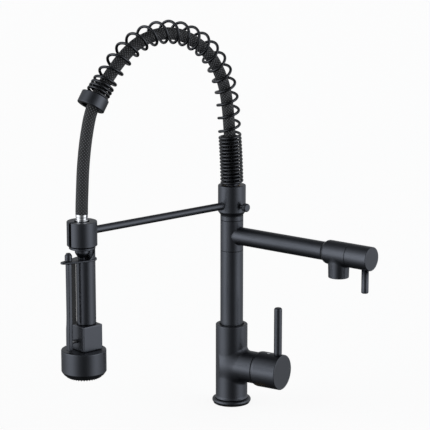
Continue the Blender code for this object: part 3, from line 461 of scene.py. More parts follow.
def settle(piece, body, finish, *stoodFor):
    # every piece: its finish, its body, its slot and the CAD nodes that it stands for
    piece.data.materials.clear()
    piece.data.materials.append(finishes[finish])
    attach(piece, body)
    if stoodFor:
        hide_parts(*stoodFor)
    return piece


def applied(piece):
    graph = bpy.context.evaluated_depsgraph_get()
    mesh = bpy.data.meshes.new_from_object(piece.evaluated_get(graph))
    piece.modifiers.clear()
    piece.data = mesh
    return piece


def tubeFor(node, name, body, finish, outer, inner, fillet=0.0003):
    # a plain tube on the column's axis, as tall as the CAD node that it stands for
    return settle(tubePiece(name, outer, inner, low(node), high(node), fillet), body, finish, node)


# ---- Geometry Nodes: one modifier on a base mesh, turned into a plain mesh ----
def newGrowth(name, inputs):
    group = bpy.data.node_groups.new(name, "GeometryNodeTree")
    group.interface.new_socket("Geometry", in_out="INPUT", socket_type="NodeSocketGeometry")
    for label, kind, default in inputs:
        socket = group.interface.new_socket(label, in_out="INPUT", socket_type="NodeSocket" + kind)
        socket.default_value = default
    group.interface.new_socket("Finish", in_out="INPUT", socket_type="NodeSocketMaterial")
    group.interface.new_socket("Geometry", in_out="OUTPUT", socket_type="NodeSocketGeometry")
    tree = Tree(group)
    given = group.nodes.new("NodeGroupInput")
    return tree, {socket.name: Signal(tree, socket) for socket in given.outputs if socket.name}


def endGrowth(tree, geometry, given):
    smooth = tree.put("GeometryNodeSetShadeSmooth", None, {"Geometry": geometry})
    whole = tree.put("GeometryNodeRealizeInstances", None, {"Geometry": smooth})
    painted = tree.put("GeometryNodeSetMaterial", None, {
        "Geometry": whole, "Material": given["Finish"]})
    out = tree.tree.nodes.new("NodeGroupOutput")
    tree.join(painted, out.inputs[0])
    return tree.tree


def grow(name, base, group, finish, **values):
    piece = addPiece(name, base)
    modifier = piece.modifiers.new("growth", "NODES")
    modifier.node_group = group
    sockets = {item.name: item.identifier for item in group.interface.items_tree
               if item.item_type == "SOCKET" and item.in_out == "INPUT"}
    modifier[sockets["Finish"]] = finishes[finish]
    for label, value in values.items():
        modifier[sockets[label]] = value
    bpy.context.view_layer.update()
    return applied(piece)


def stored(tree, geometry, label, value):
    return tree.put("GeometryNodeStoreNamedAttribute", {"data_type": "FLOAT", "domain": "POINT"}, {
        "Geometry": geometry, "Name": label, "Value": value})


def attribute(tree, label, kind="FLOAT"):
    return tree.put("GeometryNodeInputNamedAttribute", {"data_type": kind}, {"Name": label})


def scaled(tree, vector, scale):
    return tree.put("ShaderNodeVectorMath", {"operation": "SCALE"}, {
        "Vector": vector, "Scale": scale})


def lineMesh(name, points, **attributes):
    mesh = bpy.data.meshes.new(name)
    mesh.from_pydata(points, [(n, n + 1) for n in range(len(points) - 1)], [])
    for label, values in attributes.items():
        made = mesh.attributes.new(label, "FLOAT", "POINT")
        made.data.foreach_set("value", values)
    return mesh


# ---- smooth solids from distances, for castings whose parts flow into each other ----
def cylinderDistance(points, origin, direction, radius):
    out = points - np.array(origin)
    axis = np.array(direction)
    along = out @ axis
    return np.linalg.norm(out - along[:, None] * axis, axis=1) - radius, along


def flowingUnion(first, second, fillet):
    u = np.maximum(fillet - first, 0)
    v = np.maximum(fillet - second, 0)
    return np.maximum(fillet, np.minimum(first, second)) - np.sqrt(u * u + v * v)


def surfaceOf(distance, lowest, highest, step):
    # one point in each cell that the surface crosses, then each point moved onto the surface
    lowest, highest = np.array(lowest), np.array(highest)
    size = np.ceil((highest - lowest) / step).astype(int) + 1
    axes = [lowest[k] + step * np.arange(size[k]) for k in range(3)]
    grid = np.stack(np.meshgrid(*axes, indexing="ij"), -1)
    value = distance(grid.reshape(-1, 3)).reshape(size)
    inside = value < 0
    corner = sum(inside[i:size[0] - 1 + i, j:size[1] - 1 + j, k:size[2] - 1 + k].astype(int)
                 for i in (0, 1) for j in (0, 1) for k in (0, 1))
    crossed = (corner > 0) & (corner < 8)
    number = -np.ones(crossed.shape, int)
    number[crossed] = np.arange(crossed.sum())
    points = lowest + (np.argwhere(crossed) + 0.5) * step
    points = ontoSurface(points, distance, step)
    faces = []
    for axis in range(3):
        one, two = [k for k in range(3) if k != axis]
        ahead = [slice(None)] * 3
        ahead[axis] = slice(1, None)
        behind = [slice(None)] * 3
        behind[axis] = slice(None, -1)
        change = inside[tuple(behind)] != inside[tuple(ahead)]
        spots = np.argwhere(change)
        keep = (spots[:, one] > 0) & (spots[:, two] > 0)
        keep &= (spots[:, one] < number.shape[one]) & (spots[:, two] < number.shape[two])
        spots = spots[keep]
        ring = []
        for a, b in ((0, 0), (1, 0), (1, 1), (0, 1)):
            shifted = spots.copy()
            shifted[:, one] -= a
            shifted[:, two] -= b
            ring.append(number[tuple(shifted.T)])
        faces.append(np.stack(ring, 1))
    faces = np.concatenate(faces)
    return points, faces[(faces >= 0).all(1)]


def ontoSurface(points, distance, step, rounds=8):
    small = step * 0.02
    for _ in range(rounds):
        here = distance(points)
        slope = np.stack([(distance(points + small * axis) - distance(points - small * axis))
                          / (2 * small) for axis in np.eye(3)], 1)
        size = np.maximum((slope * slope).sum(1), 0.05)
        move = -(here / size)[:, None] * slope
        length = np.linalg.norm(move, axis=1)
        points = points + move * np.minimum(1.0, step / np.maximum(length, 1e-9))[:, None]
    return points


def cutAndRim(shape, origin, direction, steps):
    # cuts the solid off square to an axis and turns a rim onto it: (radius, distance along)
    origin, direction = Vector(origin), Vector(direction).normalized()
    geometry = shape.verts[:] + shape.edges[:] + shape.faces[:]
    start = steps[0][1]
    cut = bmesh.ops.bisect_plane(shape, geom=geometry, dist=1e-7,
                                 plane_co=origin + direction * start, plane_no=direction,
                                 clear_outer=True)
    edges = [e for e in cut["geom_cut"] if isinstance(e, bmesh.types.BMEdge)]
    for radius, along in steps[1:]:
        grown = bmesh.ops.extrude_edge_only(shape, edges=edges)["geom"]
        edges = [e for e in grown if isinstance(e, bmesh.types.BMEdge)]
        for vert in [v for v in grown if isinstance(v, bmesh.types.BMVert)]:
            out = vert.co - origin
            out -= direction * out.dot(direction)
            vert.co = origin + direction * along
            if radius > 1e-6:
                vert.co += out.normalized() * radius
        closed = {e for v in {v for e in edges for v in e.verts} for e in v.link_edges}
        edges = [e for e in closed if e.is_boundary and all(
            abs((v.co - origin).dot(direction) - along) < 1e-6 for v in e.verts)]
        if radius <= 1e-6:
            break
    return shape


def inOrder(shape):
    # an extrusion makes its parts in no fixed order, so they are sorted by where they are
    places = ((shape.verts, lambda vert: tuple(vert.co)),
              (shape.edges, lambda edge: sorted(tuple(vert.co) for vert in edge.verts)),
              (shape.faces, lambda face: tuple(face.calc_center_median())))
    for parts, place in places:
        rank = {part: n for n, part in enumerate(sorted(parts, key=place))}
        parts.sort(key=rank.get)


def casting(name, distance, lowest, highest, step, cuts):
    points, faces = surfaceOf(distance, lowest, highest, step)
    mesh = bpy.data.meshes.new(name)
    mesh.from_pydata([tuple(p) for p in points], [], [tuple(f) for f in faces.tolist()])
    shape = bmesh.new()
    shape.from_mesh(mesh)
    for origin, direction, steps in cuts:
        cutAndRim(shape, origin, direction, steps)
    bmesh.ops.remove_doubles(shape, verts=shape.verts, dist=1e-6)
    bmesh.ops.dissolve_degenerate(shape, edges=shape.edges, dist=1e-7)
    inOrder(shape)
    bmesh.ops.recalc_face_normals(shape, faces=shape.faces)
    for face in shape.faces:
        face.smooth = True
    shape.to_mesh(mesh)
    shape.free()
    return addPiece(name, mesh)


def rimSteps(corners, steps=5):
    return [tuple(point) for point in rounded(corners, False, steps)]


# ---- the hose, made first: a braided tube on the route of the CAD's hose ----
hose = {"radius": 0.0072, "step": 0.00066, "sides": 120, "exit": (0.0, 0.0, 0.2895),
        "length": 0.490, "blendFrom": (0.0, -0.0400, 0.40), "blendTo": (0.0, -0.1945, 0.40),
        "top": 0.2753, "reach": 0.2277,
        "route": [
            (0.0000, 0.0142), (0.0040, 0.0254), (0.0100, 0.0470), (0.0195, 0.0701),
            (0.0312, 0.0960), (0.0610, 0.1255), (0.1290, 0.1539), (0.2225, 0.1741),
            (0.3470, 0.1884), (0.4700, 0.1928), (0.5740, 0.1893), (0.6430, 0.1835),
            (0.7090, 0.1739), (0.7720, 0.1610), (0.8330, 0.1463), (0.8960, 0.1292),
            (0.9375, 0.1095), (0.9510, 0.0985), (0.9620, 0.0875), (0.9725, 0.0750),
            (0.9825, 0.0586), (0.9895, 0.0430), (0.9935, 0.0280), (0.9970, 0.0150),
            (0.9995, 0.0040), (1.0000, -0.0037)]}


def smoothRoute(route, step, samples=24):
    # an even line through (share of the reach, height over the collar) points
    points = [Vector((0.0, -share * hose["reach"], hose["top"] + height))
              for share, height in route]
    ends = [2 * points[0] - points[1]] + points + [2 * points[-1] - points[-2]]
    fine = []
    for before, start, end, after in zip(ends, ends[1:], ends[2:], ends[3:]):
        for n in range(samples):
            t = n / samples
            fine.append(0.5 * (2 * start + (end - before) * t
                               + (2 * before - 5 * start + 4 * end - after) * t ** 2
                               + (3 * start - before - 3 * end + after) * t ** 3))
    fine.append(points[-1])
    lengths = np.concatenate([[0.0], np.cumsum([(b - a).length for a, b in zip(fine, fine[1:])])])
    wanted = np.linspace(0.0, lengths[-1], max(2, round(lengths[-1] / step)) + 1)
    table = np.array(fine)
    even = np.stack([np.interp(wanted, lengths, table[:, k]) for k in range(3)], 1)
    return even, wanted


def eased(line, rounds):
    # rubs the last kinks out of a dense line and leaves its ends where they are
    line = line.copy()
    for _ in range(rounds):
        line[1:-1] = 0.25 * line[:-2] + 0.5 * line[1:-1] + 0.25 * line[2:]
    return line


def makeBraidGrowth():
    tree, given = newGrowth("braidedTube", [
        ("Radius", "Float", 0.007), ("Relief", "Float", 0.0003), ("Sides", "Int", 90)])
    line = tree.put("GeometryNodeMeshToCurve", None, {"Mesh": given["Geometry"]})
    length = tree.put("GeometryNodeSplineParameter", output=1)
    line = stored(tree, line, "along", length)
    circle = tree.put("GeometryNodeCurveArc", {"mode": "RADIUS"}, {
        "Resolution": given["Sides"], "Radius": given["Radius"], "Start Angle": 0.0,
        "Sweep Angle": turn})
    share = tree.put("GeometryNodeSplineParameter", output=0)
    circle = stored(tree, circle, "around", share)
    tube = tree.put("GeometryNodeCurveToMesh", None, {
        "Curve": line, "Profile Curve": circle})
    around, along = attribute(tree, "around"), attribute(tree, "along")
    place = tree.put("ShaderNodeCombineXYZ", None, {0: around, 1: along})
    tube = tree.put("GeometryNodeStoreNamedAttribute", {
        "data_type": "FLOAT2", "domain": "CORNER"}, {
        "Geometry": tube, "Name": "UVMap", "Value": place})
    tube = tree.put("GeometryNodeMergeByDistance", None, {"Geometry": tube, "Distance": 1e-5})
    height = braidPattern(around, along, weave)["height"]
    lift = scaled(tree, tree.put("GeometryNodeInputNormal"), given["Relief"] * (height - 0.75))
    tube = tree.put("GeometryNodeSetPosition", None, {"Geometry": tube, "Offset": lift})
    return endGrowth(tree, tube, given)


hoseLine, hoseLengths = smoothRoute(hose["route"], hose["step"])
hoseLine = eased(hoseLine, 120)
braidedHose = grow("braidedHose", lineMesh("braidedHose", hoseLine.tolist()), makeBraidGrowth(),
                   "braid", Radius=hose["radius"], Relief=weave["relief"], Sides=hose["sides"] + 1)
shape = bmesh.new()
shape.from_mesh(braidedHose.data)
bmesh.ops.holes_fill(shape, edges=[e for e in shape.edges if e.is_boundary], sides=0)
bmesh.ops.recalc_face_normals(shape, faces=shape.faces)
shape.to_mesh(braidedHose.data)
shape.free()
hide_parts("hose")
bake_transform(braidedHose)
print("hose made, its route is", round(float(hoseLengths[-1]), 4), "m long")


# ---- the spring round the hose ----
spring = {"wire": 0.0017, "coil": 0.0124, "closePitch": 0.0043, "openPitch": 0.0166,
          "closeLength": 0.0565, "endCloseLength": 0.011, "pitchChange": 0.010,
          "endPitchChange": 0.020, "phase": 290, "step": 0.00012, "pointsPerTurn": 44,
          "sides": 16,
          "route": [
              (0.0000, 0.0023), (0.0040, 0.0254), (0.0100, 0.0470), (0.0180, 0.0701),
              (0.0280, 0.0965), (0.0554, 0.1268), (0.1240, 0.1559), (0.2182, 0.1764),
              (0.3460, 0.1903), (0.4700, 0.1946), (0.5758, 0.1910), (0.6476, 0.1850),
              (0.7153, 0.1752), (0.7789, 0.1620), (0.8370, 0.1469), (0.8960, 0.1306)]}


def springPitch(distance, whole, settings):
    fromStart = (distance - settings["closeLength"]) / settings["pitchChange"]
    toEnd = (whole - settings["endCloseLength"] - distance) / settings["endPitchChange"]
    openness = max(0.0, min(1.0, fromStart, toEnd))
    openness = openness * openness * (3 - 2 * openness)
    return settings["closePitch"] + (settings["openPitch"] - settings["closePitch"]) * openness


def makeCoilGrowth():
    tree, given = newGrowth("coiledWire", [
        ("Coil", "Float", 0.012), ("Wire", "Float", 0.0015), ("Sides", "Int", 14)])
    line = tree.put("GeometryNodeMeshToCurve", None, {"Mesh": given["Geometry"]})
    angle = attribute(tree, "angle")
    side = tree.put("ShaderNodeCombineXYZ", None, {0: 1.0})
    out = tree.put("ShaderNodeVectorMath", {"operation": "CROSS_PRODUCT"}, {
        0: tree.put("GeometryNodeInputTangent"), 1: side})
    outPart = scaled(tree, out, given["Coil"] * angle.cos())
    sidePart = scaled(tree, side, given["Coil"] * angle.sin())
    both = tree.put("ShaderNodeVectorMath", {"operation": "ADD"}, {0: outPart, 1: sidePart})
    line = tree.put("GeometryNodeSetPosition", None, {"Geometry": line, "Offset": both})
    circle = tree.put("GeometryNodeCurvePrimitiveCircle", {"mode": "RADIUS"}, {
        "Resolution": given["Sides"], "Radius": given["Wire"]})
    wire = tree.put("GeometryNodeCurveToMesh", None, {
        "Curve": line, "Profile Curve": circle, "Fill Caps": True})
    return endGrowth(tree, wire, given)


springLine, springLengths = smoothRoute(spring["route"], spring["step"])
springLine = eased(springLine, 2000)
turns = np.concatenate([[0.0], np.cumsum([
    spring["step"] / springPitch(at, springLengths[-1], spring) for at in springLengths[:-1]])])
kept = [0]
for n, value in enumerate(turns):
    if value - turns[kept[-1]] >= 1 / spring["pointsPerTurn"]:
        kept.append(n)
angles = math.radians(spring["phase"]) - turn * turns
coilGrowth = makeCoilGrowth()
coil = grow("archSpring", lineMesh("archSpring", springLine[kept].tolist(),
                                   angle=angles[kept].astype(np.float32)),
            coilGrowth, "spring_coat", Coil=spring["coil"], Wire=spring["wire"],
            Sides=spring["sides"])
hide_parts("spring")
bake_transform(coil)
print("spring made with", round(float(turns[-1]), 1), "turns")


# ---- base, body and column ----
base = {"flange": 0.0239, "flangeRound": 0.0026, "gasket": 0.0224,
        "body": 0.0196, "flare": 0.0011, "branch": 0.0195, "flow": 0.0050, "rim": 0.0009,
        "socket": 0.0150, "recess": 0.0163, "recessTop": 0.0202, "branchEnd": 0.0378,
        "chamber": 0.0176, "chamberFloor": 0.0023, "step": 0.0009,
        "column": 0.014, "wall": 0.0015, "spacerBore": 0.0103, "seam": 0.00035}

handleAxis = Vector(joints["handle_temperature"]["axis"]).normalized()
handleOrigin = Vector((0.0, 0.0, joints["handle_temperature"]["pos_m"][2]))

tubeFor("base_gasket", "deckGasket", "body", "rubber", base["gasket"], base["recess"], 0.0002)
settle(turned("baseFlange", [
    (base["flange"], high("base_flange"), base["flangeRound"]),
    (base["flange"], low("base_flange"), base["flangeRound"]),
    (base["recess"], low("base_flange"), 0.0003), (base["recess"], high("base_flange"), 0.0003)],
    None, True, 128), "body", "black_coat", "base_flange")


def valveBodyDistance(points):
    upright, _ = cylinderDistance(points, (0, 0, 0), (0, 0, 1), base["body"])
    branch, along = cylinderDistance(points, handleOrigin, handleAxis, base["branch"])
    branch = np.maximum(branch, -along - 0.004)
    return flowingUnion(upright, branch, base["flow"])


bodyTop, bodyBottom = high("valve_body"), low("valve_body")
socketFloor = low("column_tube") - 0.0003
topSteps = rimSteps([
    (base["body"], bodyTop - 0.004, 0), (base["body"], bodyTop, base["rim"]),
    (base["socket"], bodyTop, 0.0005), (base["socket"], socketFloor, 0), (0.0, socketFloor, 0)])
bottomSteps = rimSteps([
    (base["body"], -bodyBottom - 0.0042, 0), (base["body"], -bodyBottom - 0.0026, 0.003),
    (base["body"] + base["flare"], -bodyBottom, 0.0004), (base["recess"], -bodyBottom, 0.0003),
    (base["recess"], -base["recessTop"], 0), (0.0, -base["recessTop"], 0)])
branchSteps = rimSteps([
    (base["branch"], base["branchEnd"] - 0.003, 0), (base["branch"], base["branchEnd"], 0.0006),
    (base["chamber"], base["branchEnd"], 0.0003), (base["chamber"], base["chamberFloor"], 0),
    (0.0, base["chamberFloor"], 0)])
valveBody = casting("valveBody", valveBodyDistance, (-0.0225, -0.0225, bodyBottom - 0.004),
                    (0.0450, 0.0345, bodyTop + 0.004), base["step"], [
                        ((0, 0, 0), (0, 0, 1), topSteps),
                        ((0, 0, 0), (0, 0, -1), bottomSteps),
                        (handleOrigin, handleAxis, branchSteps)])
settle(valveBody, "body", "black_coat", "valve_body")
tubeFor("column_tube", "columnTube", "body", "black_coat", base["column"],
        base["column"] - base["wall"], base["seam"])
tubeFor("spacer_ring", "spacerRing", "body", "black_coat", base["column"], base["spacerBore"],
        base["seam"])
print("base, body and column made")


# ---- what clamps the faucet under the worktop ----
clamp = {"washer": 0.0245, "hole": 0.0163, "shank": 0.0154, "bore": 0.0125,
         "pitch": 0.0016, "ridge": 0.00055}
tubeFor("deck_rubber_washer", "rubberWasher", "body", "rubber", clamp["washer"], clamp["hole"],
        0.0006)
tubeFor("deck_steel_washer", "steelWasher", "body", "steel", clamp["washer"], clamp["hole"])
shankBottom, shankTop = low("threaded_shank"), high("threaded_shank")
tubeFor("threaded_shank", "shankTube", "body", "brass", clamp["shank"], clamp["bore"], 0.0006)
threadCount = int((shankTop - shankBottom - 0.012) / clamp["pitch"] * 40)
threadLine = [(0.0, 0.0, shankBottom + 0.0012 + n * clamp["pitch"] / 40)
              for n in range(threadCount)]


def makeThreadGrowth():
    # a straight line, wound into a thread by its own height
    tree, given = newGrowth("screwThread", [
        ("Radius", "Float", 0.016), ("Pitch", "Float", 0.0016), ("Ridge", "Float", 0.0005)])
    line = tree.put("GeometryNodeMeshToCurve", None, {"Mesh": given["Geometry"]})
    angle = xyz(tree, tree.put("GeometryNodeInputPosition"))[2] * turn / given["Pitch"]
    offset = tree.put("ShaderNodeCombineXYZ", None, {
        0: given["Radius"] * angle.cos(), 1: given["Radius"] * angle.sin()})
    line = tree.put("GeometryNodeSetPosition", None, {"Geometry": line, "Offset": offset})
    circle = tree.put("GeometryNodeCurvePrimitiveCircle", {"mode": "RADIUS"}, {
        "Resolution": 6, "Radius": given["Ridge"]})
    wire = tree.put("GeometryNodeCurveToMesh", None, {
        "Curve": line, "Profile Curve": circle, "Fill Caps": True})
    return endGrowth(tree, wire, given)


threadGrowth = makeThreadGrowth()
settle(grow("shankThread", lineMesh("shankThread", threadLine), threadGrowth, "brass",
            Radius=clamp["shank"] + 0.0001, Pitch=clamp["pitch"], Ridge=clamp["ridge"]),
       "body", "brass")
print("clamp made")


# ---- mixer handle ----
handle = {"cap": 0.0217, "wall": 0.0015, "start": 0.0393, "end": 0.0726, "solid": 0.0135,
          "boss": 0.0095, "bossStart": 0.0435, "edge": 0.0009, "lever": 0.0049,
          "leverOut": 0.066, "leverLength": 0.0591, "leverTip": 0.0030, "leverRing": 0.0052,
          "plug": 0.0029, "plugOut": 0.0543, "plugDimple": 0.0013}
alongHandle = standAt(handleOrigin, handleAxis)
handleCap = turned("handleCap", [
    (0.0, handle["end"], 0), (handle["cap"], handle["end"], handle["edge"]),
    (handle["cap"], handle["start"] + 0.0030, 0.004),
    (handle["cap"] - 0.0007, handle["start"], 0.0004),
    (handle["cap"] - handle["wall"], handle["start"], 0.0004),
    (handle["cap"] - handle["wall"], handle["end"] - handle["solid"], 0.0005),
    (handle["boss"], handle["end"] - handle["solid"], 0.0005),
    (handle["boss"], handle["bossStart"], 0.0004), (0.0, handle["bossStart"], 0)],
    alongHandle, False, 128)
settle(handleCap, "handle", "black_coat", "handle_cap")
leverBase = handleOrigin + handleAxis * handle["leverOut"]
leverFoot = handle["cap"] - 0.0004
lever = turned("handleLever", [
    (0.0, handle["cap"] + handle["leverLength"], 0),
    (handle["lever"], handle["cap"] + handle["leverLength"], handle["leverTip"]),
    (handle["lever"], leverFoot + 0.0022, 0.0003),
    (handle["lever"] - 0.0006, leverFoot + 0.0018, 0.0002),
    (handle["leverRing"] - 0.0004, leverFoot + 0.0013, 0.0003),
    (handle["leverRing"] - 0.0004, leverFoot, 0), (0.0, leverFoot, 0)],
    standAt(leverBase), False, 64)
settle(lever, "handle", "black_coat", "handle_lever")
plugPlace = standAt(handleOrigin + handleAxis * handle["plugOut"])
plugTop = handle["cap"] + 0.0005
plug = turned("indicatorPlug", [
    (0.0, plugTop - 0.0009, 0), (handle["plugDimple"], plugTop - 0.0009, 0.0002),
    (handle["plugDimple"] + 0.0002, plugTop, 0.0003), (handle["plug"], plugTop, 0.0005),
    (handle["plug"], plugTop - 0.0024, 0.0002), (0.0, plugTop - 0.0024, 0)],
    plugPlace, False, 48)
settle(plug, "handle", "indicator_plastic", "handle_indicator")
settle(barPiece("indicatorPip", handle["plugDimple"] - 0.0001, plugTop - 0.0012, plugTop - 0.0006,
                0.0001, plugPlace, 32), "handle", "rubber")
print("mixer handle made")


# ---- pot filler ----
filler = {"arm": 0.011, "wall": 0.0015, "weld": 0.0006, "end": 0.1387, "head": 0.01425,
          "headStart": 0.1390, "shoulder": 0.0060, "headEnd": 0.1743, "nozzleOut": 0.1582,
          "nozzleTop": 0.0129, "nozzleEnd": 0.0122, "nozzleDrop": 0.0285, "flow": 0.0012,
          "pocket": 0.0106, "pocketDepth": 0.0098, "step": 0.00055,
          "chamber": 0.0093, "capStart": 0.1746, "capEnd": 0.2043, "capSolid": 0.016,
          "edge": 0.0008, "pin": 0.0043, "pinOut": 0.1955, "pinDrop": 0.0420, "pinTip": 0.0013,
          "aerator": 0.0103}
fillerAxis = Vector(joints["filler_valve_turn"]["axis"]).normalized()
fillerOrigin = Vector((0.0, 0.0, joints["filler_valve_turn"]["pos_m"][2]))
alongFiller = standAt(fillerOrigin, fillerAxis)

tubeFor("filler_sleeve", "fillerSleeve", "pot_filler", "black_coat", base["column"],
        base["spacerBore"], base["seam"])


def saddleTube(name, settings, place, sides=96):
    # a tube whose near end follows the sleeve it is brazed to
    outer, inner = settings["arm"], settings["arm"] - settings["wall"]
    levels = [(settings["weld"], 0.0), (settings["weld"] * 0.45, 0.00035), (0.0001, 0.0009),
              (0.0, 0.0016)]
    points, rings = [], []

    def ring(radius, out, follow):
        rings.append(list(range(len(points), len(points) + sides)))
        for n in range(sides):
            angle = turn * n / sides
            aside = radius * math.cos(angle)
            start = math.sqrt(max(base["column"] ** 2 - aside ** 2, 0.0)) if follow else 0.0
            points.append((aside, radius * math.sin(angle), start + out))

    for extra, out in levels:
        ring(outer + extra, out, True)
    for share in (0.03, 0.3, 0.6, 0.9):
        ring(outer, share * (settings["end"] - base["column"]) + base["column"], False)
    for across, out in rounded([(outer, settings["end"] - 0.003, 0),
                                (outer, settings["end"], 0.0003),
                                (inner, settings["end"], 0.0002),
                                (inner, settings["end"] - 0.003, 0)]):
        ring(across, out, False)
    ring(inner, 0.020, False)
    ring(inner, -0.0004, True)
    rings.append(rings[0])
    faces = [(a[n], a[(n + 1) % sides], b[(n + 1) % sides], b[n])
             for a, b in zip(rings, rings[1:]) for n in range(sides)]
    return fromFaces(name, points, faces, place)


settle(saddleTube("fillerArm", filler, alongFiller), "pot_filler", "black_coat", "filler_arm")


def fillerHeadDistance(points):
    out = points - np.array(fillerOrigin)
    axis = np.array(fillerAxis)
    along = out @ axis
    across = np.linalg.norm(out - along[:, None] * axis, axis=1)
    share = np.clip((along - filler["headStart"]) / filler["shoulder"], 0, 1)
    radius = filler["arm"] + (filler["head"] - filler["arm"]) * np.sin(share * math.pi / 2)
    barrel = (across - radius) * np.where(share < 1, 0.85, 1.0)
    drop = -out[:, 2]
    spot = np.array(fillerAxis) * filler["nozzleOut"]
    side = np.linalg.norm((out - spot)[:, :2], axis=1)
    taper = (filler["nozzleTop"] - filler["nozzleEnd"]) / filler["nozzleDrop"]
    nozzle = np.maximum(side - (filler["nozzleTop"] - taper * drop), -drop - 0.002)
    return flowingUnion(barrel, nozzle, filler["flow"])


headCentre = np.array(fillerOrigin + fillerAxis * (filler["headStart"] + filler["headEnd"]) / 2)
nozzleSpot = fillerOrigin + fillerAxis * filler["nozzleOut"]
headSteps = rimSteps([(filler["head"], filler["headEnd"] - 0.002, 0),
                      (filler["head"], filler["headEnd"], 0.0004),
                      (filler["chamber"], filler["headEnd"], 0.0003),
                      (filler["chamber"], filler["headEnd"] - 0.024, 0),
                      (0.0, filler["headEnd"] - 0.024, 0)])
neckSteps = rimSteps([(filler["arm"] + 0.0003, -filler["headStart"] - 0.0004, 0),
                      (filler["arm"], -filler["headStart"], 0.0002),
                      (filler["arm"] - 0.0018, -filler["headStart"], 0),
                      (filler["arm"] - 0.0018, -filler["headStart"] + 0.0085, 0),
                      (0.0, -filler["headStart"] + 0.0085, 0)])
nozzleSteps = rimSteps([(filler["nozzleEnd"], filler["nozzleDrop"] - 0.0016, 0),
                        (filler["nozzleEnd"], filler["nozzleDrop"], 0.0004),
                        (filler["pocket"] + 0.0002, filler["nozzleDrop"], 0.0003),
                        (filler["pocket"], filler["nozzleDrop"] - filler["pocketDepth"], 0),
                        (0.0, filler["nozzleDrop"] - filler["pocketDepth"], 0)])
fillerHead = casting("fillerHead", fillerHeadDistance,
                     tuple(headCentre - np.array([0.024, 0.024, 0.030])),
                     tuple(headCentre + np.array([0.024, 0.024, 0.019])), filler["step"], [
                         (fillerOrigin, fillerAxis, headSteps),
                         (fillerOrigin, -fillerAxis, neckSteps),
                         (nozzleSpot, (0, 0, -1), nozzleSteps)])
settle(fillerHead, "pot_filler", "black_coat", "filler_head")

fillerCap = turned("fillerCap", [
    (0.0, filler["capEnd"], 0), (filler["head"], filler["capEnd"], filler["edge"]),
    (filler["head"], filler["capStart"], 0.0004),
    (filler["head"] - filler["wall"], filler["capStart"], 0.0003),
    (filler["head"] - filler["wall"], filler["capEnd"] - filler["capSolid"], 0.0004),
    (0.0, filler["capEnd"] - filler["capSolid"], 0)], alongFiller, False, 112)
settle(fillerCap, "filler_handle", "black_coat", "filler_cap")
pinPlace = standAt(fillerOrigin + fillerAxis * filler["pinOut"])
fillerPin = turned("fillerPin", [
    (0.0, -filler["head"] + 0.0030, 0), (filler["pin"], -filler["head"] + 0.0030, 0),
    (filler["pin"], -filler["pinDrop"], filler["pinTip"]), (0.0, -filler["pinDrop"], 0)],
    pinPlace, False, 64)
settle(fillerPin, "filler_handle", "black_coat", "filler_pin")


# ---- rings of small parts: nozzles, knurls and black dots of painted shade for the aerator's holes ----
def makeRingGrowth():
    # the base mesh's points each carry one copy, turned to face away from the axis
    tree, given = newGrowth("ringOfParts", [
        ("Foot", "Float", 0.001), ("Tip", "Float", 0.0006), ("Length", "Float", 0.001),
        ("Sides", "Int", 10)])
    cone = tree.put("GeometryNodeMeshCone", {"fill_type": "NGON"}, {
        "Vertices": given["Sides"], "Radius Top": given["Tip"], "Radius Bottom": given["Foot"],
        "Depth": given["Length"]})
    out = attribute(tree, "facing", "FLOAT_VECTOR")
    turnTo = tree.put("FunctionNodeAlignRotationToVector", {"axis": "Z"}, {"Vector": out})
    many = tree.put("GeometryNodeInstanceOnPoints", None, {
        "Points": given["Geometry"], "Instance": cone, "Rotation": turnTo})
    return endGrowth(tree, many, given)


ringGrowth = makeRingGrowth()


def pointMesh(name, points, facings):
    mesh = bpy.data.meshes.new(name)
    mesh.from_pydata([tuple(p) for p in points], [], [])
    made = mesh.attributes.new("facing", "FLOAT_VECTOR", "POINT")
    made.data.foreach_set("vector", [x for facing in facings for x in facing])
    return mesh


def ringPoints(centre, rings, height):
    return [(centre[0] + radius * math.cos(turn * (n + 0.5 * k) / count),
             centre[1] + radius * math.sin(turn * (n + 0.5 * k) / count), height)
            for k, (radius, count) in enumerate(rings) for n in range(count)]


aeratorBottom = low("filler_aerator")
aerator = turned("fillerAerator", [
    (0.0, aeratorBottom + 0.0075, 0), (filler["aerator"], aeratorBottom + 0.0075, 0.0003),
    (filler["aerator"], aeratorBottom, 0.0004), (filler["aerator"] - 0.0016, aeratorBottom, 0.0004),
    (filler["aerator"] - 0.0018, aeratorBottom + 0.0018, 0.0002),
    (0.0, aeratorBottom + 0.0018, 0)],
    Matrix.Translation((nozzleSpot.x, nozzleSpot.y, 0.0)), False, 64)
settle(aerator, "pot_filler", "steel", "filler_aerator")
# black rubber dots in the aerator's face stand for its holes: painted shade
aeratorRings = [(0.0013, 5), (0.0032, 11), (0.0051, 17), (0.0070, 24)]
meshPoints = ringPoints(nozzleSpot, aeratorRings, aeratorBottom + 0.0016)
settle(grow("aeratorHoleShade", pointMesh("aeratorHoleShade", meshPoints, [(0, 0, -1)] * len(meshPoints)),
            ringGrowth, "rubber", Foot=0.00062, Tip=0.00055, Length=0.0006, Sides=6),
       "pot_filler", "rubber")
print("pot filler made")


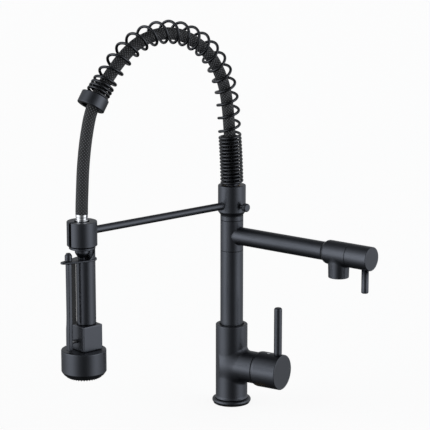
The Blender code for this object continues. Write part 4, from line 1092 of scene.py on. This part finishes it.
# ---- docking collar, rod, ring and lock knob ----
dock = {"collar": 0.0169, "bore": 0.0103, "taper": 0.0048, "edge": 0.0009, "rod": 0.0045,
        "rodStart": 0.0127, "ring": 0.0175, "ringBore": 0.00875, "slot": 0.0040,
        "ringEdge": 0.0008, "knob": 0.0052, "knobStand": 0.0056, "knobLength": 0.006,
        "screw": 0.0025, "ribs": 26}
reach = hose["reach"]
rodHeight = joints["lock_knob_turn"]["pos_m"][2]
collarLow, collarHigh = low("docking_collar"), high("docking_collar")
collar = turned("dockingCollar", [
    (dock["collar"], collarHigh, dock["edge"]),
    (dock["collar"], collarLow + dock["taper"], 0.0010),
    (base["column"], collarLow + 0.0007, 0.0008), (base["column"], collarLow, 0.0003),
    (dock["bore"], collarLow, 0.0003), (dock["bore"], collarHigh, 0.0005)], None, True, 112)
settle(collar, "spout", "black_coat", "docking_collar")
rodPlace = standAt((0.0, 0.0, rodHeight), (0, -1, 0))
rodEnd = -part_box("docking_rod")[0].y
settle(barPiece("dockingRod", dock["rod"], dock["rodStart"], rodEnd, 0.0002, rodPlace), "spout",
       "black_coat", "docking_rod")
rodFlange = turned("rodCollar", [
    (dock["rod"] - 0.0002, dock["collar"] + 0.0014, 0),
    (dock["rod"] + 0.0005, dock["collar"] + 0.0009, 0.0004),
    (dock["rod"] + 0.0007, dock["collar"] - 0.0028, 0),
    (dock["rod"] - 0.0002, dock["collar"] - 0.0028, 0)],
    rodPlace, True, 64)
settle(rodFlange, "spout", "black_coat")


def slottedRing(name, settings, bottom, top):
    # a ring with a narrow slit that faces the sink, with every edge eased
    half = settings["slot"] / 2
    plan = []
    for radius, forward in ((settings["ring"], 1), (settings["ringBore"], -1)):
        gap = math.asin(half / radius)
        angles = np.linspace(-math.pi / 2 + gap, 1.5 * math.pi - gap, 97 if forward > 0 else 65)
        plan += [(radius * math.cos(a), radius * math.sin(a)) for a in angles[::forward]]
    count = len(plan)
    points = [(x, y - reach, z) for z in (bottom, top) for x, y in plan]
    faces = [(n, (n + 1) % count, count + (n + 1) % count, count + n) for n in range(count)]
    faces += [tuple(range(count)), tuple(range(count, 2 * count))]
    piece = fromFaces(name, points, faces)
    return easedEdges(piece, settings["ringEdge"], 4, 40)


def easedEdges(piece, width, segments, sharper):
    # a bevel on every edge that turns by more than so many degrees
    bevel = piece.modifiers.new("edges", "BEVEL")
    bevel.width = width
    bevel.segments = segments
    bevel.limit_method = "ANGLE"
    bevel.angle_limit = math.radians(sharper)
    return splitFlats(applied(piece))


def splitFlats(piece, angle=35):
    # keeps flats flat where a smooth face meets a bevel
    piece.data.set_sharp_from_angle(angle=math.radians(angle))
    weighted = piece.modifiers.new("normals", "WEIGHTED_NORMAL")
    weighted.weight = 80
    weighted.keep_sharp = True
    return piece


settle(slottedRing("dockingRing", dock, low("docking_ring"), high("docking_ring")), "spout",
       "black_coat", "docking_ring")
knobPlace = standAt((0.0, 0.0, rodHeight), (1, 0, 0))
knobStart = dock["collar"] + dock["knobStand"]
knobEnd = knobStart + dock["knobLength"]
knob = turned("lockKnob", [
    (0.0, knobEnd, 0), (dock["knob"] - 0.0012, knobEnd, 0.0004),
    (dock["knob"] - 0.0002, knobEnd - 0.0010, 0.0003),
    (dock["knob"] - 0.0002, knobStart + 0.0006, 0.0003), (dock["knob"] - 0.0010, knobStart, 0.0003),
    (dock["screw"], knobStart, 0.0002), (dock["screw"], 0.0107, 0.0003), (0.0, 0.0107, 0)],
    knobPlace, False, 64)
settle(knob, "lock_knob", "black_coat", "lock_knob")


def makeRibGrowth():
    # straight ribs round a knob, one copy on each point
    tree, given = newGrowth("knobRibs", [
        ("Thickness", "Float", 0.0005), ("Length", "Float", 0.004)])
    size = tree.put("ShaderNodeCombineXYZ", None, {
        0: given["Length"], 1: given["Thickness"], 2: given["Thickness"]})
    rib = tree.put("GeometryNodeMeshCube", None, {"Size": size})
    out = attribute(tree, "facing", "FLOAT_VECTOR")
    turnTo = tree.put("FunctionNodeAlignRotationToVector", {
        "axis": "Z", "pivot_axis": "X"}, {"Vector": out})
    many = tree.put("GeometryNodeInstanceOnPoints", None, {
        "Points": given["Geometry"], "Instance": rib, "Rotation": turnTo})
    return endGrowth(tree, many, given)


ribFacings = [(0.0, math.cos(turn * n / dock["ribs"]), math.sin(turn * n / dock["ribs"]))
              for n in range(dock["ribs"])]
ribPoints = [((knobStart + knobEnd - 0.0004) / 2, f[1] * (dock["knob"] - 0.0003),
              rodHeight + f[2] * (dock["knob"] - 0.0003)) for f in ribFacings]
settle(grow("knobRibs", pointMesh("knobRibs", ribPoints, ribFacings), makeRibGrowth(),
            "black_coat", Thickness=0.00055, Length=0.0036), "lock_knob", "black_coat")
print("dock made")


# ---- the nut at the spring's lower end ----
endNut = {"radius": 0.0165, "bore": 0.0108, "length": 0.0145, "recess": 0.0147,
          "recessDepth": 0.0052, "edge": 0.0010, "ahead": 0.0084, "sag": 6.5}


def routePoint(point):
    return Vector((0.0, -point[0] * reach, hose["top"] + point[1]))


springEnd = routePoint(spring["route"][-1])
springAlong = (springEnd - routePoint(spring["route"][-2])).normalized()
nutCentre = springEnd + springAlong * endNut["ahead"]
nutLean = math.atan2(-springAlong.y, -springAlong.z) - math.radians(endNut["sag"])
nutPlace = standAt(nutCentre, (0.0, math.sin(nutLean), math.cos(nutLean)))
half = endNut["length"] / 2
nut = turned("springEndNut", [
    (endNut["recess"], half, 0.0004), (endNut["radius"], half, endNut["edge"]),
    (endNut["radius"], -half, endNut["edge"]), (endNut["bore"], -half, 0.0009),
    (endNut["bore"], half - endNut["recessDepth"], 0.0003),
    (endNut["recess"], half - endNut["recessDepth"], 0.0002)], nutPlace, True, 112)
settle(nut, "hose_end", "black_coat", "spring_end_nut")

# ---- hose end: ferrule and swivel nut ----
fitting = {"ferrule": 0.0071, "ferruleBore": 0.0050, "crimp": 0.0003, "swivel": 0.0082,
           "swivelBore": 0.0035}
headPlace = Matrix.Translation((0.0, -reach, 0.0))
ferruleLow, ferruleHigh = low("hose_ferrule"), high("hose_ferrule")
ferrule = turned("hoseFerrule", [
    (fitting["ferrule"], ferruleHigh + 0.0012, 0.0004),
    (fitting["ferrule"], ferruleHigh - 0.0025, 0.0004),
    (fitting["ferrule"] - fitting["crimp"], ferruleHigh - 0.0031, 0.0004),
    (fitting["ferrule"] - fitting["crimp"], ferruleHigh - 0.0060, 0.0004),
    (fitting["ferrule"], ferruleHigh - 0.0066, 0.0004), (fitting["ferrule"], ferruleLow, 0.0005),
    (fitting["ferruleBore"], ferruleLow, 0.0003),
    (fitting["ferruleBore"], ferruleHigh + 0.0012, 0.0003)], headPlace, True, 80)
settle(ferrule, "hose_end", "chrome", "hose_ferrule")
swivelLow, swivelHigh = low("hose_swivel_nut"), high("hose_swivel_nut")
settle(tubePiece("hoseSwivelNut", fitting["swivel"], fitting["swivelBore"], swivelLow,
                 swivelHigh, 0.0007, headPlace, 80), "hose_end", "chrome", "hose_swivel_nut")
print("hose fittings made")


# ---- spray head ----
spray = {"flange": 0.0152, "flangeThick": 0.0026, "flangeEdge": 0.0006, "ball": 0.0086,
         "ballDepth": 0.0100, "stem": 0.0046, "way": 0.0024, "yokeRound": 0.0130,
         "yokeTip": 0.0040, "yokeTipOut": 0.0262, "yokeEdge": 0.0006, "grip": 0.0113,
         "gripWall": 0.0018, "gripOffset": 0.0045, "shroudRise": 0.0105,
         "blockDepth": 0.0273, "blockWidth": 0.0300, "blockOffset": 0.00275,
         "blockEdge": 0.0014, "groove": 0.0008, "bell": 0.0262, "bellWall": 0.0031,
         "bellChamfer": 0.0028, "face": 0.0226, "pinOut": 0.0198, "pinHole": 0.0031}
neckLow, neckHigh = low("spray_neck"), high("spray_neck")
yokeLow, yokeHigh = low("head_yoke"), high("head_yoke")
flangeUnder = neckHigh - spray["flangeThick"]
ballLow = flangeUnder - spray["ballDepth"]
neck = turned("sprayNeck", [
    (spray["flange"], neckHigh, spray["flangeEdge"]),
    (spray["flange"], flangeUnder, spray["flangeEdge"]),
    (spray["ball"] + 0.0004, flangeUnder, 0.0004), (spray["ball"], flangeUnder - 0.0009, 0.0006),
    (spray["ball"], ballLow + 0.0052, 0.0040),
    (spray["ball"] - 0.0022, ballLow + 0.0016, 0.0040), (spray["stem"], ballLow, 0.0006),
    (spray["stem"], neckLow, 0.0003),
    (spray["way"], neckLow, 0.0002), (spray["way"], neckHigh, 0.0003)], headPlace, True, 96)
settle(neck, "spray_head", "black_coat", "spray_neck")


def yokeOutline(settings, grow=0.0, count=64):
    # round at the grip, a blunt tip beyond the trigger
    spread = settings["yokeTipOut"] + settings["gripOffset"]
    lean = math.asin((settings["yokeRound"] - settings["yokeTip"]) / spread)
    outline = []
    for centre, radius, start, span in (
            (settings["gripOffset"], settings["yokeRound"], -lean, math.pi + 2 * lean),
            (-settings["yokeTipOut"], settings["yokeTip"], math.pi + lean, math.pi - 2 * lean)):
        for n in range(count):
            angle = start + span * n / (count - 1)
            outline.append(((radius + grow) * math.cos(angle),
                            centre + (radius + grow) * math.sin(angle)))
    return outline


def platePiece(name, outline, holes, bottom, top, edge, place):
    # a flat plate with round holes, built as rings so that its edges can be eased
    shape = bmesh.new()
    loops = [outline] + [[(x + radius * math.cos(turn * n / 40), y + radius * math.sin(turn * n / 40))
                          for n in range(40)] for x, y, radius in holes]
    edges = []
    for loop in loops:
        verts = [shape.verts.new((x, y, top)) for x, y in loop]
        edges += [shape.edges.new((verts[n], verts[(n + 1) % len(verts)]))
                  for n in range(len(verts))]
    bmesh.ops.triangle_fill(shape, use_beauty=True, use_dissolve=False, edges=edges)
    grown = bmesh.ops.extrude_face_region(shape, geom=shape.faces[:])["geom"]
    bmesh.ops.translate(shape, vec=(0, 0, bottom - top),
                        verts=[v for v in grown if isinstance(v, bmesh.types.BMVert)])
    bmesh.ops.recalc_face_normals(shape, faces=shape.faces)
    for face in shape.faces:
        face.smooth = True
    mesh = bpy.data.meshes.new(name)
    shape.to_mesh(mesh)
    shape.free()
    mesh.transform(place)
    return easedEdges(addPiece(name, mesh), edge, 3, 50)


yoke = platePiece("headYoke", yokeOutline(spray),
                  [(0.0, 0.0, spray["stem"] + 0.0003), (0.0, -spray["pinOut"], spray["pinHole"])],
                  yokeLow, yokeHigh, spray["yokeEdge"], headPlace)
settle(yoke, "spray_head", "black_coat", "head_yoke")


def shroudPiece(name, settings, bottom, place, columns=72, rows=8):
    # the grip's wall carried up behind the neck, scooped down towards the trigger
    outer, inner = settings["grip"], settings["grip"] - 0.0014
    points, faces = [], []
    span = math.radians(118)
    for column in range(columns + 1):
        angle = -span + 2 * span * column / columns
        share = min(1.0, max(0.0, (math.radians(112) - abs(angle)) / math.radians(72)))
        rise = settings["shroudRise"] * share * share * (3 - 2 * share) + 0.0003
        ring = [(outer, bottom + rise * row / rows) for row in range(rows)]
        ring += [(outer - 0.0001, bottom + rise - 0.0001), (outer - 0.0004, bottom + rise),
                 (inner + 0.0004, bottom + rise), (inner + 0.0001, bottom + rise - 0.0001),
                 (inner, bottom + rise * 0.7), (inner, bottom)]
        points += [(radius * math.sin(angle), settings["gripOffset"] + radius * math.cos(angle), z)
                   for radius, z in ring]
    size = rows + 6
    for column in range(columns):
        for n in range(size):
            m = (n + 1) % size
            faces.append((column * size + n, column * size + m,
                          (column + 1) * size + m, (column + 1) * size + n))
    faces.append(tuple(range(size)))
    faces.append(tuple(range(columns * size, (columns + 1) * size)))
    return fromFaces(name, points, faces, place)


settle(splitFlats(shroudPiece("gripShroud", spray, yokeHigh - 0.0004, headPlace), 50),
       "spray_head", "black_coat")
gripPlace = Matrix.Translation((0.0, -reach + spray["gripOffset"], 0.0))
settle(tubePiece("gripTube", spray["grip"], spray["grip"] - spray["gripWall"], low("grip_tube"),
                 high("grip_tube") + 0.0002, 0.0003, gripPlace, 112), "spray_head", "black_coat",
       "grip_tube")


def blockPlan(settings, inset):
    # a square with eased corners, and a thin groove down each corner that faces the sink
    halfWide, halfDeep = settings["blockWidth"] / 2 - inset, settings["blockDepth"] / 2 - inset
    soft, groove = settings["blockEdge"], settings["groove"]
    plan = []
    for sx, sy, grooved in ((1, 1, False), (-1, 1, False), (-1, -1, True), (1, -1, True)):
        corner = Vector((sx * halfWide, sy * halfDeep))
        inX, inY = Vector((-sx, 0)), Vector((0, -sy))
        first, last = (inX, inY) if sx * sy < 0 else (inY, inX)
        if grooved:
            mouth, depth = groove * 0.6, groove * 1.3
            centre = corner + (inX + inY) * 0.0002
            plan += [centre + first * (mouth + 0.0012), centre + first * (mouth + 0.0004),
                     centre + first * mouth + last * 0.0002,
                     centre + first * depth + last * (depth - mouth),
                     centre + (first + last) * depth * 0.95,
                     centre + last * depth + first * (depth - mouth),
                     centre + last * mouth + first * 0.0002, centre + last * (mouth + 0.0004),
                     centre + last * (mouth + 0.0012)]
        else:
            middle = corner + (inX + inY) * soft
            plan.append(corner + first * soft * 2)
            for n in range(7):
                angle = math.pi / 2 * n / 6
                plan.append(middle - last * soft * math.cos(angle) - first * soft * math.sin(angle))
            plan.append(corner + last * soft * 2)
    return [(x, y + settings["blockOffset"]) for x, y in plan]


blockLow, blockHigh = low("valve_block"), high("valve_block")
blockLevels = [(0.0008, blockLow), (0.0002, blockLow + 0.0002), (0.0, blockLow + 0.0008),
               (0.0, blockLow + 0.0016), (0.0, blockHigh - 0.0016), (0.0, blockHigh - 0.0008),
               (0.0002, blockHigh - 0.0002), (0.0008, blockHigh)]
valveBlock = loft("valveBlock", [[(x, y, z) for x, y in blockPlan(spray, inset)]
                                 for inset, z in blockLevels], headPlace)
settle(splitFlats(valveBlock, 28), "spray_head", "black_coat", "valve_block")

bellLow, bellHigh = low("spray_bell"), high("spray_bell")
bell = turned("sprayBell", [
    (0.0034, bellHigh, 0.0002), (spray["bell"], bellHigh, 0.0012),
    (spray["bell"], bellLow + spray["bellChamfer"] + 0.0010, 0.0016),
    (spray["bell"] - spray["bellChamfer"], bellLow, 0.0010),
    (spray["bell"] - spray["bellWall"], bellLow, 0.0002),
    (spray["bell"] - spray["bellWall"], bellHigh - spray["bellWall"], 0.0005),
    (0.0034, bellHigh - spray["bellWall"], 0.0002)], headPlace, True, 128)
settle(bell, "spray_head", "black_coat", "spray_bell")
faceLow, faceHigh = low("spray_face"), high("spray_face")
face = turned("sprayFace", [
    (0.0, faceHigh, 0), (spray["face"], faceHigh, 0.0002), (spray["face"], bellLow + 0.0002, 0.0003),
    (spray["face"] - 0.0018, faceLow, 0.0008), (0.0105, faceLow, 0.0003),
    (0.0100, faceLow + 0.0005, 0.0003), (0.0, faceLow + 0.0005, 0)], headPlace, False, 112)
settle(face, "spray_head", "black_coat", "spray_face")
nozzleRings = [(0.0028, 6), (0.0056, 12), (0.0082, 16), (0.0122, 24), (0.0148, 28), (0.0174, 34)]
nozzles = ringPoints((0.0, -reach), nozzleRings, faceLow - 0.0001)
settle(grow("sprayNozzles", pointMesh("sprayNozzles", nozzles, [(0, 0, -1)] * len(nozzles)),
            ringGrowth, "nozzle_silicone", Foot=0.00085, Tip=0.00050, Length=0.0016, Sides=12),
       "spray_head", "nozzle_silicone")
print("spray head made")


# ---- trigger ----
trigger = {"out": 0.0198, "width": 0.0066, "thickness": 0.0050, "round": 0.0012,
           "rib": 0.0026, "ribDepth": 0.0068, "knob": 0.0043, "pin": 0.0023}
triggerPlace = Matrix.Translation((0.0, -reach - trigger["out"], 0.0))


def roundedSection(halfWide, front, rear, soft, z, steps=4):
    loop = []
    for cx, cy, start in ((halfWide - soft, rear - soft, 0), (-halfWide + soft, rear - soft, 90),
                          (-halfWide + soft, front + soft, 180), (halfWide - soft, front + soft, 270)):
        for n in range(steps + 1):
            angle = math.radians(start + 90 * n / steps)
            loop.append((cx + soft * math.cos(angle), cy + soft * math.sin(angle), z))
    return loop


barLow, barHigh = low("trigger_bar"), high("trigger_bar")
halfThick = trigger["thickness"] / 2
levels = [(barHigh, 0.85, 0.0006), (barHigh - 0.0003, 0.95, 0.0002), (barHigh - 0.0010, 1.0, 0.0),
          (barHigh - 0.006, 1.0, 0.0), (barHigh - 0.030, 0.97, 0.0), (barHigh - 0.062, 0.97, 0.0),
          (barLow + 0.032, 1.0, -0.0002), (barLow + 0.026, 1.04, -0.0006),
          (barLow + 0.008, 1.06, -0.0007), (barLow + 0.0012, 1.06, -0.0007),
          (barLow + 0.0003, 1.0, -0.0003), (barLow, 0.88, 0.0004)]
sections = [roundedSection(trigger["width"] / 2 * share, -halfThick + shift,
                           halfThick - max(shift, 0.0) * 0.6, trigger["round"], z)
            for z, share, shift in levels]
settle(splitFlats(loft("triggerBar", sections, triggerPlace), 50), "trigger", "black_coat",
       "trigger_bar")
# a thin gusset behind the bar, in matte black rubber rather than the coat, so that the gap between bar and grip
# reads dark: painted shade
ribTop = barHigh - 0.0008
ribSections = []
for z in (ribTop, barHigh - 0.0014, blockHigh + 0.0024, blockHigh + 0.0018):
    pinch = 0.9 if z == ribTop else 1.0
    ribSections.append([(x * pinch, y, z) for x, y, _ in roundedSection(
        trigger["rib"] / 2, halfThick - 0.0004, halfThick + trigger["ribDepth"], 0.0004, z)])
settle(splitFlats(loft("triggerRibPaintedShade", ribSections, triggerPlace), 50), "trigger", "rubber")
knobLow = yokeHigh + 0.0006
knobHigh = high("trigger_knob")
triggerKnob = turned("triggerKnob", [
    (0.0, knobHigh, 0), (trigger["knob"] * 0.55, knobHigh, 0.0010),
    (trigger["knob"], knobHigh - 0.0030, 0.0016), (trigger["knob"], knobLow, 0.0004),
    (trigger["pin"], knobLow, 0.0002), (trigger["pin"], barHigh - 0.0002, 0),
    (0.0, barHigh - 0.0002, 0)], triggerPlace, False, 56)
settle(triggerKnob, "trigger", "black_coat", "trigger_knob")
print("trigger made")


# ---- CAD nodes that stay, each in its own finish ----
slotOf = {part["node"]: part["material_slot"] for part in frame["record"]["subparts"]}
for name, node in frame["nodes"].items():
    if not node.hide_render:
        node.data.materials.clear()
        node.data.materials.append(finishes[slotOf[name]])


# ---- floor, backdrop and light ----
studio = {
    "floor": 60.0, "floorShade": 0.16, "glow": 0.90, "strength": 2.3,
    # brightness all round, in degrees to the right of the camera
    "around": [(-180, 0.20), (-140, 0.18), (-105, 0.42), (-82, 0.92), (-58, 0.95), (-36, 0.42),
               (-16, 0.10), (10, 0.05), (30, 0.13), (52, 0.62), (68, 0.90), (84, 0.70),
               (100, 0.42), (120, 0.40), (145, 0.22), (180, 0.20)],
    # and from straight down to straight up
    "upward": [(-90, 0.04), (-45, 0.07), (-25, 0.30), (-8, 0.90), (6, 1.0), (22, 0.85),
               (40, 0.40), (60, 0.24), (90, 0.22)]}


def makeStage(settings):
    mesh = bpy.data.meshes.new("floor")
    size = settings["floor"]
    mesh.from_pydata([(-size, -size, 0), (size, -size, 0), (size, size, 0), (-size, size, 0)],
                     [], [(0, 1, 2, 3)])
    floor = addPiece("floor", mesh)
    floor.location.z = -0.00005
    material = bpy.data.materials.new("paleFloor")
    material.use_nodes = True
    shader = material.node_tree.nodes["Principled BSDF"]
    shade = settings["floorShade"]
    for name, value in (("Base Color", (shade, shade, shade, 1.0)), ("Roughness", 0.9),
                        ("Specular IOR Level", 0.1), ("Emission Color", (1.0, 1.0, 1.0, 1.0)),
                        ("Emission Strength", settings["glow"])):
        shader.inputs[name].default_value = value
    mesh.materials.append(material)
    # left out of reflections and shadows, so that only the soft boxes light the faucet
    floor.visible_glossy = False
    floor.visible_shadow = False


def makeWorld(settings):
    # broad soft boxes, brightest level with the faucet and fading above and below it
    world = bpy.data.worlds.new("studio")
    world.use_nodes = True
    scene.world = world
    tree = Tree(world.node_tree)
    x, y, z = xyz(tree, tree.put("ShaderNodeTexCoord", output=0))
    camera = cameraPlace["azimuth"] / 360
    azimuth = x.math("ARCTAN2", x, -y) / turn - camera + 1.5
    upward = z.math("ARCSINE", z) / math.pi + 0.5
    shades = []
    for value, key, span in ((azimuth.modulo(1.0), "around", 360), (upward, "upward", 180)):
        shades.append(tree.put("ShaderNodeValToRGB", {"stops": [
            (degrees / span + 0.5, shade) for degrees, shade in settings[key]]}, {0: value}))
        shades[-1].socket.node.color_ramp.interpolation = "EASE"
    background = world.node_tree.nodes["Background"]
    # the eye sees a plain white room and only the object is lit by the soft boxes
    seen = tree.put("ShaderNodeLightPath", output=0)
    lit = shades[0] * shades[1] * settings["strength"]
    tree.join(lit * (1 - seen) + seen * 0.95, background.inputs["Strength"])
    background.inputs["Color"].default_value = (0.96, 0.98, 1.0, 1.0)


makeStage(studio)
makeWorld(studio)
print("stage and light made")

bpy.context.view_layer.update()
